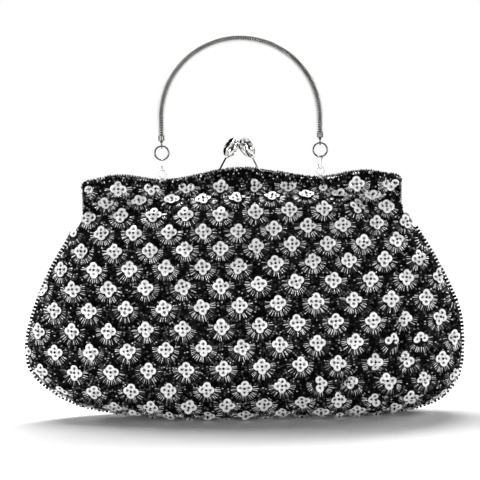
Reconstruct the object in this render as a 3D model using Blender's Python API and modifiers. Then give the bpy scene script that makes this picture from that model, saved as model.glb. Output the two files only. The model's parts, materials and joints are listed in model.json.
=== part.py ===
"""Evening clutch: a beaded pouch in a hinged kiss-lock frame, carried by a snake-chain handle.

Metres, +Z up, the front faces -Y, and the origin is under the middle of the bag on the surface it stands on.
The frame is two U-channel bows on one hinge line. Each bow carries the top of its own fabric panel and lining.
Below the cut line the pouch is one soft bag of panels, padding and linings, and it stays still as the bows swing.
"""

import math

import bmesh
import bpy
from mathutils import Matrix, Vector

# Clearances
SEAT_GAP = 0.0003
LAYER_GAP = 0.0005
HALF_GAP = 0.0004
SWING_GAP = 0.0007
CUT_OVERRUN = 0.002

# Pouch
BODY_FLARE = 0.0365
BODY_HALF_DEPTH = 0.030
BASE_HALF_DEPTH = 0.016
SEAM_HALF_GAP = 0.0018
SEAM_RECESS = 0.0022
RIM_RISE_MIDDLE = 0.0060
RIM_DROP_SIDE = 0.0105
PANEL_THICKNESS = 0.0022
PADDING_THICKNESS = 0.0014
LINING_THICKNESS = 0.0008
EDGING_RADIUS = 0.0014
EDGING_STAND_OFF = 0.0006
POCKET_THICKNESS = 0.0008
FOLD_DEPTH = 0.0045
FOLD_HALF_WIDTH = 0.0075
FLOWER_RISE = 0.0010

# Frame bows, each one a U-channel bent from sheet
FRAME_HALF_WIDTH = 0.101
FRAME_CROWN_RISE = 0.0295
FRAME_DIP_RISE = 0.0230
FRAME_SHOULDER_RISE = 0.0263
FRAME_CORNER_RISE = 0.0232
FRAME_CORNER_RADIUS = 0.004
FRAME_BAND = 0.006
FRAME_THICKNESS = 0.0046
FRAME_WALL = 0.0008
FRAME_REVEAL = 0.0009
FRAME_CORD_RADIUS = 0.0007
ARM_END_RISE = 0.0048

# Hinge
HINGE_HEIGHT = 0.1285
EAR_RADIUS = 0.004
EAR_STEP = 0.0001
PIN_RADIUS = 0.0012
RIVET_HEAD_RADIUS = 0.0024
RIVET_HEAD_THICKNESS = 0.0008
SWING_RADIUS = 0.019

# Kiss-lock knobs
KNOB_X = 0.0048
KNOB_RISE = 0.0140
KNOB_RADIUS = 0.0040
KNOB_HALF_LENGTH = 0.0055
KNOB_LEAN_ACROSS = math.radians(28.0)
KNOB_CROSSING = 0.0008
COLLAR_RADIUS = 0.0016
COLLAR_LENGTH = 0.0020
STEM_THICKNESS = 0.0010
STEM_WIDTH = 0.0026
STEM_BEND_X = 0.0118
STEM_FOOT_LENGTH = 0.0100

# Handle
CHAIN_STRAIGHT = 0.0100
CHAIN_RADIUS = 0.0024
CHAIN_END_RADIUS = 0.0020
CHAIN_GROOVE = 0.0003
CHAIN_TAPER_LENGTH = 0.018
CHAIN_RIBS = 66
CAP_RADIUS = 0.0019
CAP_BORE_RADIUS = 0.0015
CAP_BORE_DEPTH = 0.0022
CAP_LENGTH = 0.0034
CAP_NECK_RADIUS = 0.0010
CAP_NECK_LENGTH = 0.0026
WIRE_RADIUS = 0.00045
RING_WIRE_RADIUS = 0.00055
RING_RADIUS = 0.0044
LINK_HALF_WIDTH = 0.0020
LINK_TURNS = {"left": 0.0, "right": math.radians(35.0)}
LINK_RISE = 0.0062
EYELET_RADIUS = 0.00245
EYELET_LUG_WIDTH = 0.0044
EYELET_LUG_HEIGHT = 0.0022
EYELET_LUG_THICKNESS = 0.0018

# Side seams from the bottom seam's end up to the rim: shares of the pouch's half width and of its side height
RIGHT_SEAM_SHARES = [
    (0.640, 0.018), (0.713, 0.024), (0.800, 0.052), (0.887, 0.107), (0.953, 0.198), (0.993, 0.297), (1.000, 0.416),
    (0.975, 0.558), (0.924, 0.693), (0.869, 0.810), (0.815, 0.912), (0.782, 0.970), (0.771, 1.000),
]
LEFT_SEAM_SHARES = [
    (0.553, 0.028), (0.669, 0.053), (0.771, 0.092), (0.858, 0.152), (0.938, 0.239), (0.985, 0.323), (1.000, 0.433),
    (0.978, 0.558), (0.924, 0.693), (0.869, 0.810), (0.815, 0.912), (0.782, 0.970), (0.771, 1.000),
]
# Middle of the panel from the base up: shares of the way from the base's edge to the belly, and of the rim's height
BELLY_SHARES = [(0.50, 0.018), (0.82, 0.071), (0.965, 0.167), (1.0, 0.305), (0.97, 0.449), (0.90, 0.598)]
# Above the belly: shares of the way from the belly to the rim's depth, and of the rim's height
NECK_SHARES = [(0.62, 0.732), (0.84, 0.851), (0.96, 0.941), (1.0, 1.0)]
# Creases that the lower right of the front hangs in: shares of the half width and of the rim's height at both ends
FOLD_SHARES = [((0.41, 0.100), (0.48, 0.200)), ((0.48, 0.200), (0.66, 0.225)), ((0.727, 0.235), (0.727, 0.505))]
FRAME_DIP_SHARE = 0.497
FRAME_SHOULDER_SHARE = 0.772
BASE_INNER_SHARE = 0.45
BASE_FLAT_SHARE = 0.5

# Shape rules without a length
SECTION_POWER = 2.4
SECTION_ROUNDNESS = 0.62
RIM_DROP_POWER = 3
EDGE_CROWDING = 1.35
UNDERSIDE_SLOPE = -0.35
COLUMNS_A_SIDE = 9
CUT_ANGLE_LIMIT = math.radians(130.0)
NECK_ANGLE = math.radians(7.0)
ARC_ROWS = 4
NECK_ROWS = 2
ROUND_SIDES = 20
WIRE_SIDES = 8
RING_SIDES = 18
CORNER_STEPS = 4
FRAME_STEPS = 16
KNOB_PETALS = 5
KNOB_PETAL_SHARE = 0.07
KNOB_TWIST = math.radians(110.0)
KNOB_RINGS = 9
KNOB_SEGMENTS = 18
POCKET_FIRST_ROW = 5
POCKET_LAST_ROW = 9
POCKET_COLUMNS_A_SIDE = 4

# Sizes that follow from the ones above
BODY_HALF_WIDTH = FRAME_HALF_WIDTH + BODY_FLARE
RIM_HALF_WIDTH = RIGHT_SEAM_SHARES[-1][0] * BODY_HALF_WIDTH
FRAME_DIP_X = FRAME_DIP_SHARE * FRAME_HALF_WIDTH
FRAME_SHOULDER_X = FRAME_SHOULDER_SHARE * FRAME_HALF_WIDTH
HANDLE_HALF_SPAN = FRAME_DIP_X
RIM_HEIGHT_MIDDLE = HINGE_HEIGHT + RIM_RISE_MIDDLE
RIM_HEIGHT_SIDE = HINGE_HEIGHT - RIM_DROP_SIDE
FRAME_CROWN_HEIGHT = HINGE_HEIGHT + FRAME_CROWN_RISE
FRAME_DIP_HEIGHT = HINGE_HEIGHT + FRAME_DIP_RISE
FRAME_SHOULDER_HEIGHT = HINGE_HEIGHT + FRAME_SHOULDER_RISE
FRAME_CORNER_HEIGHT = HINGE_HEIGHT + FRAME_CORNER_RISE
KNOB_HEIGHT = FRAME_CROWN_HEIGHT + KNOB_RISE
STACK = PANEL_THICKNESS + PADDING_THICKNESS + LINING_THICKNESS + 2 * LAYER_GAP
RIM_DEPTH = SWING_RADIUS + SWING_GAP + STACK
BOW_OUTER_Y = HALF_GAP + FRAME_THICKNESS
BOW_MIDDLE_Y = HALF_GAP + FRAME_THICKNESS / 2
PANEL_NECK = BOW_OUTER_Y + SEAT_GAP + PANEL_THICKNESS
SWING_RADIUS_SIDE = PANEL_NECK + LAYER_GAP
EDGING_END_X = FRAME_HALF_WIDTH + EAR_STEP + RIVET_HEAD_THICKNESS + EDGING_RADIUS + 2 * SEAT_GAP
REAR_BOW_HALF_WIDTH = FRAME_HALF_WIDTH - FRAME_WALL - 2 * EAR_STEP - SEAT_GAP
PIN_BORE_RADIUS = PIN_RADIUS + SEAT_GAP
EYELET_HEIGHT = FRAME_DIP_HEIGHT + SEAT_GAP + EYELET_LUG_HEIGHT + EYELET_RADIUS
LINK_PIVOT_HEIGHT = EYELET_HEIGHT + EYELET_RADIUS
RING_PIVOT_HEIGHT = LINK_PIVOT_HEIGHT + LINK_RISE
CAP_PIVOT_HEIGHT = RING_PIVOT_HEIGHT + 2 * RING_RADIUS
CAP_EYE_RADIUS = RING_WIRE_RADIUS + SEAT_GAP + WIRE_RADIUS
CAP_BASE_HEIGHT = CAP_PIVOT_HEIGHT + CAP_EYE_RADIUS + CAP_NECK_LENGTH - WIRE_RADIUS
CHAIN_END_HEIGHT = CAP_BASE_HEIGHT + CAP_LENGTH + SEAT_GAP
ARCH_LENGTH = 2 * CHAIN_STRAIGHT + math.pi * HANDLE_HALF_SPAN

COLOURS = {
    "bright_steel": ((0.78, 0.78, 0.76), 0.18, 1.0),
    "beaded_fabric": ((0.02, 0.02, 0.022), 0.35, 0.0),
    "black_satin": ((0.015, 0.015, 0.017), 0.4, 0.0),
    "foam": ((0.75, 0.74, 0.70), 0.9, 0.0),
    "paper_cord": ((0.62, 0.52, 0.38), 0.9, 0.0),
    "black_beads": ((0.01, 0.01, 0.012), 0.2, 0.0),
}


def clear_scene():
    for thing in list(bpy.data.objects):
        bpy.data.objects.remove(thing, do_unlink=True)


def new_collection(name):
    collection = bpy.data.collections.new(name)
    bpy.context.scene.collection.children.link(collection)
    return collection


def material(slot):
    made = bpy.data.materials.get(slot)
    if made:
        return made
    colour, roughness, metallic = COLOURS[slot]
    made = bpy.data.materials.new(slot)
    made.use_nodes = True
    shader = made.node_tree.nodes["Principled BSDF"]
    shader.inputs["Base Color"].default_value = (*colour, 1.0)
    shader.inputs["Roughness"].default_value = roughness
    shader.inputs["Metallic"].default_value = metallic
    made.diffuse_color = (*colour, 1.0)
    return made


def add_object(name, data, collection, slot=None):
    made = bpy.data.objects.new(name, data)
    collection.objects.link(made)
    if slot:
        data.materials.append(material(slot))
    return made


def face_outward(bm):
    """Consistent normals, turned by the sign of the volume, as a tiny mesh can come back inside out."""
    bmesh.ops.recalc_face_normals(bm, faces=bm.faces)
    if bm.calc_volume(signed=True) < 0:
        bmesh.ops.reverse_faces(bm, faces=bm.faces)


def add_mesh(name, bm, collection, slot=None, smooth=False):
    """An object from a bmesh, with its normals outward, which is then freed."""
    face_outward(bm)
    mesh = bpy.data.meshes.new(name)
    bm.to_mesh(mesh)
    bm.free()
    if smooth:
        mesh.shade_smooth()
        mesh.set_sharp_from_angle(angle=math.radians(40.0))
    return add_object(name, mesh, collection, slot)


def hide_tool(tool):
    tool.hide_render = True
    tool.display_type = "WIRE"
    return tool


def boolean(target, tool, operation):
    modifier = target.modifiers.new(operation.lower(), "BOOLEAN")
    modifier.operation = operation
    modifier.object = hide_tool(tool)
    return target


def curve_to_bmesh(curve_object):
    """The curve's evaluated mesh in world space, with its caps welded, and the curve removed."""
    bpy.context.view_layer.update()
    evaluated = curve_object.evaluated_get(bpy.context.evaluated_depsgraph_get())
    mesh = bpy.data.meshes.new_from_object(evaluated)
    bm = bmesh.new()
    bm.from_mesh(mesh)
    bm.transform(curve_object.matrix_world)
    bmesh.ops.remove_doubles(bm, verts=bm.verts, dist=SEAT_GAP / 100)
    bpy.data.objects.remove(curve_object, do_unlink=True)
    bpy.data.meshes.remove(mesh)
    return bm


def plate_bmesh(outline, thickness, upright):
    """A flat outline given thickness, centred on its plane. upright maps the curve's own XY plane into the world."""
    curve = bpy.data.curves.new("outline", "CURVE")
    curve.dimensions = "2D"
    curve.fill_mode = "BOTH"
    curve.extrude = thickness / 2
    spline = curve.splines.new("POLY")
    spline.points.add(len(outline) - 1)
    for point, (across, up) in zip(spline.points, outline):
        point.co = (across, up, 0.0, 1.0)
    spline.use_cyclic_u = True
    flat = add_object("outline", curve, bpy.context.scene.collection)
    flat.matrix_world = upright
    return curve_to_bmesh(flat)


def facing_front(y):
    """The XY plane stood up as the XZ plane at this y."""
    return Matrix.Translation((0.0, y, 0.0)) @ Matrix.Rotation(math.pi / 2, 4, "X")


def facing_side(x):
    """The XY plane stood up as the YZ plane at this x."""
    return Matrix.Translation((x, 0.0, 0.0)) @ Matrix((
        (0.0, 0.0, 1.0, 0.0), (1.0, 0.0, 0.0, 0.0), (0.0, 1.0, 0.0, 0.0), (0.0, 0.0, 0.0, 1.0)
    ))


def rod_bmesh(start, end, radius, sides=ROUND_SIDES):
    """A closed cylinder between two points."""
    start, end = Vector(start), Vector(end)
    along = end - start
    bm = bmesh.new()
    bmesh.ops.create_cone(
        bm, cap_ends=True, segments=sides, radius1=radius, radius2=radius, depth=along.length
    )
    turn = along.to_track_quat("Z", "Y").to_matrix().to_4x4()
    bm.transform(Matrix.Translation((start + end) / 2) @ turn)
    return bm


def tube_curve(name, points, radius, collection, slot, radii=None, cyclic=False, resolution=2):
    """A wire, cord or ring through its points."""
    curve = bpy.data.curves.new(name, "CURVE")
    curve.dimensions = "3D"
    curve.bevel_depth = radius
    curve.bevel_resolution = resolution
    curve.use_fill_caps = not cyclic
    curve.twist_mode = "MINIMUM"
    spline = curve.splines.new("POLY")
    spline.points.add(len(points) - 1)
    for index, (point, place) in enumerate(zip(spline.points, points)):
        point.co = (*place, 1.0)
        point.radius = radii[index] if radii else 1.0
    spline.use_cyclic_u = cyclic
    return add_object(name, curve, collection, slot)


def oval(centre, half_width, half_straight, sideways, sides=RING_SIDES):
    """Points round an upright ring or long link: straight sides between two half circles."""
    points = []
    for step in range(sides):
        turn = 2 * math.pi * step / sides
        across = half_width * math.cos(turn)
        up = half_width * math.sin(turn) + math.copysign(half_straight, math.sin(turn + math.pi / sides))
        points.append(Vector(centre) + sideways * across + Vector((0.0, 0.0, up)))
    return points


# Pouch


def seam_point(shares, sign, row):
    across, up = shares[row]
    return sign * across * BODY_HALF_WIDTH, up * RIM_HEIGHT_SIDE


def middle_profile():
    """Depth and height of the panel's middle line, from the bottom seam up to the rim."""
    profile = [
        (SEAM_HALF_GAP, SEAM_RECESS),
        (BASE_INNER_SHARE * BASE_HALF_DEPTH, 0.0),
        (BASE_HALF_DEPTH, 0.0),
    ]
    for out, up in BELLY_SHARES:
        depth = BASE_HALF_DEPTH + out * (BODY_HALF_DEPTH - BASE_HALF_DEPTH)
        profile.append((depth, up * RIM_HEIGHT_MIDDLE))
    belly = profile[-1][0]
    for back, up in NECK_SHARES:
        profile.append((belly + back * (RIM_DEPTH - belly), up * RIM_HEIGHT_MIDDLE))
    return profile


def ease(value):
    value = min(max(value, 0.0), 1.0)
    return value * value * (3 - 2 * value)


def rim_drop(across):
    """How far the rim has come down from its middle height towards its side height, from 0 to 1."""
    return min(abs(across), 1.0) ** RIM_DROP_POWER


def base_lift(across):
    """How far a low row has risen from the flat base towards the side seam, from 0 to 1."""
    return (max(abs(across) - BASE_FLAT_SHARE, 0.0) / (1 - BASE_FLAT_SHARE)) ** 2


def fold_push(x, z):
    """How far the creases draw the front panel inward at this place."""
    push = 0.0
    for ends in FOLD_SHARES:
        start, end = (Vector((across * BODY_HALF_WIDTH, up * RIM_HEIGHT_MIDDLE)) for across, up in ends)
        along = end - start
        offset = Vector((x, z)) - start
        nearest = along * min(max(offset.dot(along) / along.length_squared, 0.0), 1.0)
        push = max(push, FOLD_DEPTH * math.exp(-((offset - nearest).length / FOLD_HALF_WIDTH) ** 2))
    return push


def skin_point(across, row, folded=False):
    """A point of the front panel's outer face. across runs from -1 at the left seam to 1 at the right one."""
    depth, height = middle_profile()[row]
    shares, sign = (RIGHT_SEAM_SHARES, 1) if across >= 0 else (LEFT_SEAM_SHARES, -1)
    seam_x, seam_z = seam_point(shares, sign, row)
    high = row >= len(middle_profile()) - len(NECK_SHARES)
    share = rim_drop(across) if high else base_lift(across)
    bulge = (1 - abs(across) ** SECTION_POWER) ** SECTION_ROUNDNESS
    x, z = abs(across) * seam_x, height + (seam_z - height) * share
    push = fold_push(x, z) * bulge if folded else 0.0
    return Vector((x, push - (SEAM_HALF_GAP + (depth - SEAM_HALF_GAP) * bulge), z))


def column_shares(count):
    """Shares across the panel, closer together towards the seams, where it curves most."""
    return [
        math.sin(EDGE_CROWDING * step / COLUMNS_A_SIDE) / math.sin(EDGE_CROWDING)
        for step in range(-count, count + 1)
    ]


def sheet_object(name, points, side, thickness, collection, slot, rise=0.0):
    """A shell from rows of points on its outer face. side is -1 for the front and 1 for the rear, which is mirrored.

    With a rise, the middle of each face that doesn't look down stands this far out.
    """
    rows, columns = len(points), len(points[0])
    bm = bmesh.new()
    bmesh.ops.create_grid(bm, x_segments=columns - 1, y_segments=rows - 1, size=1.0)
    for vert in bm.verts:
        column = round((vert.co.x + 1) / 2 * (columns - 1))
        row = round((vert.co.y + 1) / 2 * (rows - 1))
        place = points[row][column]
        vert.co = (place.x, -side * place.y, place.z)
    mesh = bpy.data.meshes.new(name)
    if side > 0:
        bmesh.ops.reverse_faces(bm, faces=bm.faces)
    if rise:
        bm.normal_update()
        upright = [face for face in bm.faces if face.normal.z > UNDERSIDE_SLOPE]
        bmesh.ops.poke(bm, faces=upright, offset=rise, center_mode="MEAN")
    bm.to_mesh(mesh)
    bm.free()
    mesh.shade_smooth()
    shell = add_object(name, mesh, collection, slot)
    solid = shell.modifiers.new("thickness", "SOLIDIFY")
    solid.thickness = thickness
    solid.offset = -1.0
    return shell


def skin_rows(depth, rows, columns, folded=False):
    """Rows of points at this depth under the front panel's outer face."""
    count, high = len(columns), len(middle_profile())
    bm = bmesh.new()
    bmesh.ops.create_grid(bm, x_segments=count - 1, y_segments=high - 1, size=1.0)
    grid = {}
    for vert in bm.verts:
        column = round((vert.co.x + 1) / 2 * (count - 1))
        row = round((vert.co.y + 1) / 2 * (high - 1))
        vert.co = skin_point(columns[column], row, folded)
        grid[row, column] = vert
    bm.normal_update()
    found = [
        [grid[row, column].co - grid[row, column].normal * depth for column in range(count)] for row in rows
    ]
    bm.free()
    return found


def half_space(name, side, tools):
    """A block over everything past the mid-plane, which trims the layers of one half to it."""
    reach = 2 * BODY_HALF_WIDTH
    bm = bmesh.new()
    bmesh.ops.create_cube(bm, size=2 * reach)
    bm.transform(Matrix.Translation((0.0, -side * (reach - HALF_GAP), 0.0)))
    return add_mesh(name, bm, tools)


def pouch_layers(half, side, parts, tools):
    """Outer panel, padding and lining of one half of the pouch, nested from the outside in."""
    every_row = range(len(middle_profile()))
    columns = column_shares(COLUMNS_A_SIDE)
    trim = half_space(f"{half}_mid_plane", side, tools)
    layers = [
        (f"{half}_panel_lower", 0.0, PANEL_THICKNESS, "beaded_fabric"),
        (f"{half}_padding", PANEL_THICKNESS + LAYER_GAP, PADDING_THICKNESS, "foam"),
        (f"{half}_lining_lower", STACK - LINING_THICKNESS, LINING_THICKNESS, "black_satin"),
    ]
    for name, depth, thickness, slot in layers:
        rows = skin_rows(depth, every_row, columns, folded=side < 0)
        shell = sheet_object(name, rows, side, thickness, parts, slot, rise=0.0 if depth else FLOWER_RISE)
        boolean(shell, trim, "DIFFERENCE")


def inner_pocket(parts):
    """A slip pocket sewn flat on the rear lining."""
    columns = column_shares(COLUMNS_A_SIDE)
    middle = COLUMNS_A_SIDE
    rows = skin_rows(STACK + LAYER_GAP, range(POCKET_FIRST_ROW, POCKET_LAST_ROW + 1), columns)
    kept = [row[middle - POCKET_COLUMNS_A_SIDE:middle + POCKET_COLUMNS_A_SIDE + 1] for row in rows]
    sheet_object("inner_pocket", kept, 1, POCKET_THICKNESS, parts, "black_satin")


def seam_edging(parts):
    """The beaded edging: from beside one hinge rivet, down round the bottom seam and up to the other rivet."""
    last = len(middle_profile()) - 1
    out = EDGING_STAND_OFF
    left = [skin_point(-1.0, row) + Vector((-out, 0.0, -out)) for row in range(last, 0, -1)]
    right = [skin_point(1.0, row) + Vector((out, 0.0, -out)) for row in range(1, last + 1)]
    bottom = [skin_point(across, 0) + Vector((0.0, 0.0, -out)) for across in column_shares(COLUMNS_A_SIDE)]
    points = [Vector((point.x, 0.0, point.z)) for point in left + bottom + right]
    for height in (HINGE_HEIGHT - RIVET_HEAD_RADIUS, HINGE_HEIGHT + RIVET_HEAD_RADIUS):
        points.insert(0, Vector((-EDGING_END_X, 0.0, height)))
        points.append(Vector((EDGING_END_X, 0.0, height)))
    tube_curve("seam_edging", points, EDGING_RADIUS, parts, "black_beads")


# Frame bows


def wave(position, start, end, low, high):
    """A half cosine from low at start to high at end."""
    share = (position - start) / (end - start)
    return low + (high - low) * (1 - math.cos(math.pi * share)) / 2


def bow_top(x, half_width):
    """Height of a bow's top edge before its corner is rounded: a crown, a dip at each eyelet and a shoulder."""
    x = abs(x)
    if x < FRAME_DIP_X:
        return wave(x, 0.0, FRAME_DIP_X, FRAME_CROWN_HEIGHT, FRAME_DIP_HEIGHT)
    if x < FRAME_SHOULDER_X:
        return wave(x, FRAME_DIP_X, FRAME_SHOULDER_X, FRAME_DIP_HEIGHT, FRAME_SHOULDER_HEIGHT)
    return wave(x, FRAME_SHOULDER_X, half_width, FRAME_SHOULDER_HEIGHT, FRAME_CORNER_HEIGHT)


def bow_edge(x, half_width, inset=0.0):
    """Height of a bow's top edge this far inside it, with the corner rounded."""
    turn = max(FRAME_CORNER_RADIUS, inset)
    centre_x = half_width - turn
    if abs(x) <= centre_x:
        return bow_top(x, half_width) - inset
    reach = min(abs(x) - centre_x, turn - inset)
    return bow_top(centre_x, half_width) - turn + math.sqrt(max((turn - inset) ** 2 - reach ** 2, 0.0))


def bow_path(half_width, inset, end_height):
    """A bow's outer line moved inward by inset, from the left arm's end over the top to the right arm's end."""
    turn = max(FRAME_CORNER_RADIUS, inset)
    centre_x = half_width - turn
    centre_z = bow_top(centre_x, half_width) - turn
    right = []
    for step in range(1, FRAME_STEPS + 1):
        x = centre_x * step / FRAME_STEPS
        right.append((x, bow_top(x, half_width) - inset))
    if turn > inset:
        for step in range(1, CORNER_STEPS + 1):
            angle = math.pi / 2 * (1 - step / CORNER_STEPS)
            right.append((centre_x + (turn - inset) * math.cos(angle), centre_z + (turn - inset) * math.sin(angle)))
    right.append((half_width - inset, end_height))
    left = [(-x, z) for x, z in reversed(right)]
    return left + [(0.0, bow_top(0.0, half_width) - inset)] + right


def bow_band(half_width, outer_inset, inner_inset, end_height, y, thickness):
    """A flat band between two insets of the bow's line."""
    outline = bow_path(half_width, outer_inset, end_height)
    outline += reversed(bow_path(half_width, inner_inset, end_height))
    return plate_bmesh(outline, thickness, facing_front(y))


def ear_outline(side):
    """The hinge ear in the YZ plane: a strip up inside the arm's wall, and a round eye on the hinge line."""
    inner, outer = HALF_GAP + EAR_STEP, BOW_OUTER_Y - EAR_STEP
    top = HINGE_HEIGHT + 2 * ARM_END_RISE
    points = [(side * inner, top), (side * outer, top), (side * outer, HINGE_HEIGHT + ARM_END_RISE / 2)]
    for step in range(ROUND_SIDES + 1):
        angle = math.pi + 1.5 * math.pi * step / ROUND_SIDES
        points.append((-side * EAR_RADIUS * math.cos(angle), HINGE_HEIGHT + EAR_RADIUS * math.sin(angle)))
    points.append((side * inner, HINGE_HEIGHT + EAR_RADIUS))
    return points


def frame_bow(half, side, half_width, parts, tools):
    """One U-channel bow with a hinge ear at the end of each arm."""
    end = HINGE_HEIGHT + ARM_END_RISE
    y = side * BOW_MIDDLE_Y
    bm = bow_band(half_width, 0.0, FRAME_BAND, end, y, FRAME_THICKNESS)
    bow = add_mesh(f"{half}_frame", bm, parts, "bright_steel")
    slot = bow_band(
        half_width, FRAME_WALL, FRAME_BAND + CUT_OVERRUN, end - CUT_OVERRUN, y, FRAME_THICKNESS - 2 * FRAME_WALL
    )
    boolean(bow, add_mesh(f"{half}_channel", slot, tools), "DIFFERENCE")
    for hand in (-1, 1):
        middle = hand * (half_width - FRAME_WALL / 2)
        ear = plate_bmesh(ear_outline(side), FRAME_WALL + 2 * EAR_STEP, facing_side(middle))
        boolean(bow, add_mesh(f"{half}_ear_{hand}", ear, tools), "UNION")
        bore = rod_bmesh(
            (middle - hand * CUT_OVERRUN, 0.0, HINGE_HEIGHT),
            (middle + hand * CUT_OVERRUN, 0.0, HINGE_HEIGHT),
            PIN_BORE_RADIUS,
        )
        boolean(bow, add_mesh(f"{half}_bore_{hand}", bore, tools), "DIFFERENCE")


def frame_cord(half, side, half_width, parts):
    """The paper cord that wedges the cloth into the channel."""
    wall = FRAME_WALL + SEAT_GAP
    inset = wall + FRAME_CORD_RADIUS
    y = side * (HALF_GAP + wall + FRAME_CORD_RADIUS)
    path = bow_path(half_width, inset, HINGE_HEIGHT + 2 * ARM_END_RISE)
    points = [(x, y, z) for x, z in path]
    tube_curve(f"{half}_frame_cord", points, FRAME_CORD_RADIUS, parts, "paper_cord")


def hinge_rivet(name, hand, parts, tools):
    """A rivet through both ears, with a head at each end."""
    outer = FRAME_HALF_WIDTH + EAR_STEP + SEAT_GAP
    inner = REAR_BOW_HALF_WIDTH - FRAME_WALL - EAR_STEP - SEAT_GAP
    axis = Vector((hand, 0.0, 0.0))
    base = Vector((0.0, 0.0, HINGE_HEIGHT))

    def along(distance):
        return base + axis * distance

    shank = rod_bmesh(along(inner - RIVET_HEAD_THICKNESS / 2), along(outer + RIVET_HEAD_THICKNESS / 2), PIN_RADIUS)
    rivet = add_mesh(name, shank, parts, "bright_steel", smooth=True)
    for label, start, end in (
        ("outer", outer, outer + RIVET_HEAD_THICKNESS),
        ("inner", inner - RIVET_HEAD_THICKNESS, inner),
    ):
        head = rod_bmesh(along(start), along(end), RIVET_HEAD_RADIUS)
        boolean(rivet, add_mesh(f"{name}_{label}_head", head, tools), "UNION")


# Fabric carried by the bows


def swing_line():
    """Across and depth of the line just inside the pouch's rim, from the middle out to the right seam."""
    inside = skin_rows(STACK, [len(middle_profile()) - 1], column_shares(COLUMNS_A_SIDE))[0]
    return [(point.x, -point.y - SWING_GAP) for point in inside[COLUMNS_A_SIDE:]]


def swing_radius(x, line):
    """How far from the hinge line the bow's fabric reaches here, which is just short of the pouch's rim."""
    for (near, deep), (far, shallow) in zip(line, line[1:]):
        if near <= abs(x) <= far:
            depth = deep + (shallow - deep) * (abs(x) - near) / (far - near)
            return max(depth, SWING_RADIUS_SIDE)
    return SWING_RADIUS_SIDE


def cut_angle(x, radius):
    """Angle from straight up, about the hinge line, at which the bow's fabric ends above the pouch's rim."""
    drop = rim_drop(x / RIM_HALF_WIDTH)
    rim = RIM_HEIGHT_MIDDLE + (RIM_HEIGHT_SIDE - RIM_HEIGHT_MIDDLE) * drop
    rise = min(max((rim + LAYER_GAP - HINGE_HEIGHT) / radius, -1.0), 1.0)
    return min(math.acos(rise), CUT_ANGLE_LIMIT)


def upper_rows(half_width, neck, inset, top_inset, bow_half_width):
    """Rows of points for the cloth on the front bow: round the swing circle from the cut, then up the neck."""
    columns = [half_width * share for share in column_shares(COLUMNS_A_SIDE)]
    line_inside = swing_line()
    rows = []
    for row in range(ARC_ROWS + NECK_ROWS + 1):
        line = []
        for x in columns:
            radius = swing_radius(x, line_inside) - inset
            start = math.asin(min(neck / radius, 1.0)) + NECK_ANGLE
            low = cut_angle(x, radius)
            bend = math.sqrt(max(radius ** 2 - neck ** 2, 0.0))
            top = bow_edge(x, bow_half_width, top_inset) - HINGE_HEIGHT
            if row <= ARC_ROWS:
                angle = low + (start - low) * row / ARC_ROWS
                depth, rise = radius * math.sin(angle), radius * math.cos(angle)
            else:
                share = (row - ARC_ROWS - 1) / (NECK_ROWS - 1)
                depth, rise = neck, bend + (top - bend) * share
            line.append(Vector((x, -depth, HINGE_HEIGHT + rise)))
        rows.append(line)
    return rows


def upper_panel(half, side, parts):
    """The beaded cloth on a bow's outer face, which leaves the metal's edge bare."""
    reach = FRAME_HALF_WIDTH - FRAME_REVEAL
    rows = upper_rows(reach, PANEL_NECK, 0.0, FRAME_REVEAL, FRAME_HALF_WIDTH)
    sheet_object(f"{half}_panel_upper", rows, side, PANEL_THICKNESS, parts, "beaded_fabric")


def upper_lining(half, side, parts):
    """The lining's top, with its edge in the bow's channel."""
    reach = REAR_BOW_HALF_WIDTH - FRAME_BAND - LAYER_GAP
    neck = BOW_OUTER_Y - FRAME_WALL - SEAT_GAP
    top_inset = FRAME_WALL + 2 * SEAT_GAP
    rows = upper_rows(reach, neck, PANEL_THICKNESS + LAYER_GAP, top_inset, REAR_BOW_HALF_WIDTH)
    sheet_object(f"{half}_lining_upper", rows, side, LINING_THICKNESS, parts, "black_satin")


# Kiss-lock


def knob_axis(hand):
    """The way a knob points: it leans across towards the other one."""
    return Vector((-hand * math.sin(KNOB_LEAN_ACROSS), 0.0, math.cos(KNOB_LEAN_ACROSS)))


def knob(half, side, hand, parts, tools):
    """A rosebud knob: a long ball with twisted petals, on a short collar."""
    bm = bmesh.new()
    bmesh.ops.create_uvsphere(bm, u_segments=KNOB_SEGMENTS, v_segments=KNOB_RINGS, radius=1.0)
    for vert in bm.verts:
        turn = math.atan2(vert.co.y, vert.co.x) + KNOB_TWIST * vert.co.z
        swell = 1 + KNOB_PETAL_SHARE * (math.cos(KNOB_PETALS * turn) - 1) * (1 - vert.co.z ** 2)
        vert.co = Vector((vert.co.x * swell, vert.co.y * swell, vert.co.z))
    bm.transform(Matrix.Diagonal((KNOB_RADIUS, KNOB_RADIUS, KNOB_HALF_LENGTH, 1.0)))
    centre = Vector((hand * KNOB_X, -side * KNOB_CROSSING, KNOB_HEIGHT))
    axis = knob_axis(hand)
    turn = axis.to_track_quat("Z", "Y").to_matrix().to_4x4()
    bm.transform(Matrix.Translation(centre) @ turn)
    rose = add_mesh(f"{half}_knob", bm, parts, "bright_steel", smooth=True)
    foot = centre - axis * KNOB_HALF_LENGTH
    collar = rod_bmesh(foot - axis * COLLAR_LENGTH / 2, foot + axis * COLLAR_LENGTH / 2, COLLAR_RADIUS)
    boolean(rose, add_mesh(f"{half}_collar", collar, tools), "UNION")


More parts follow.
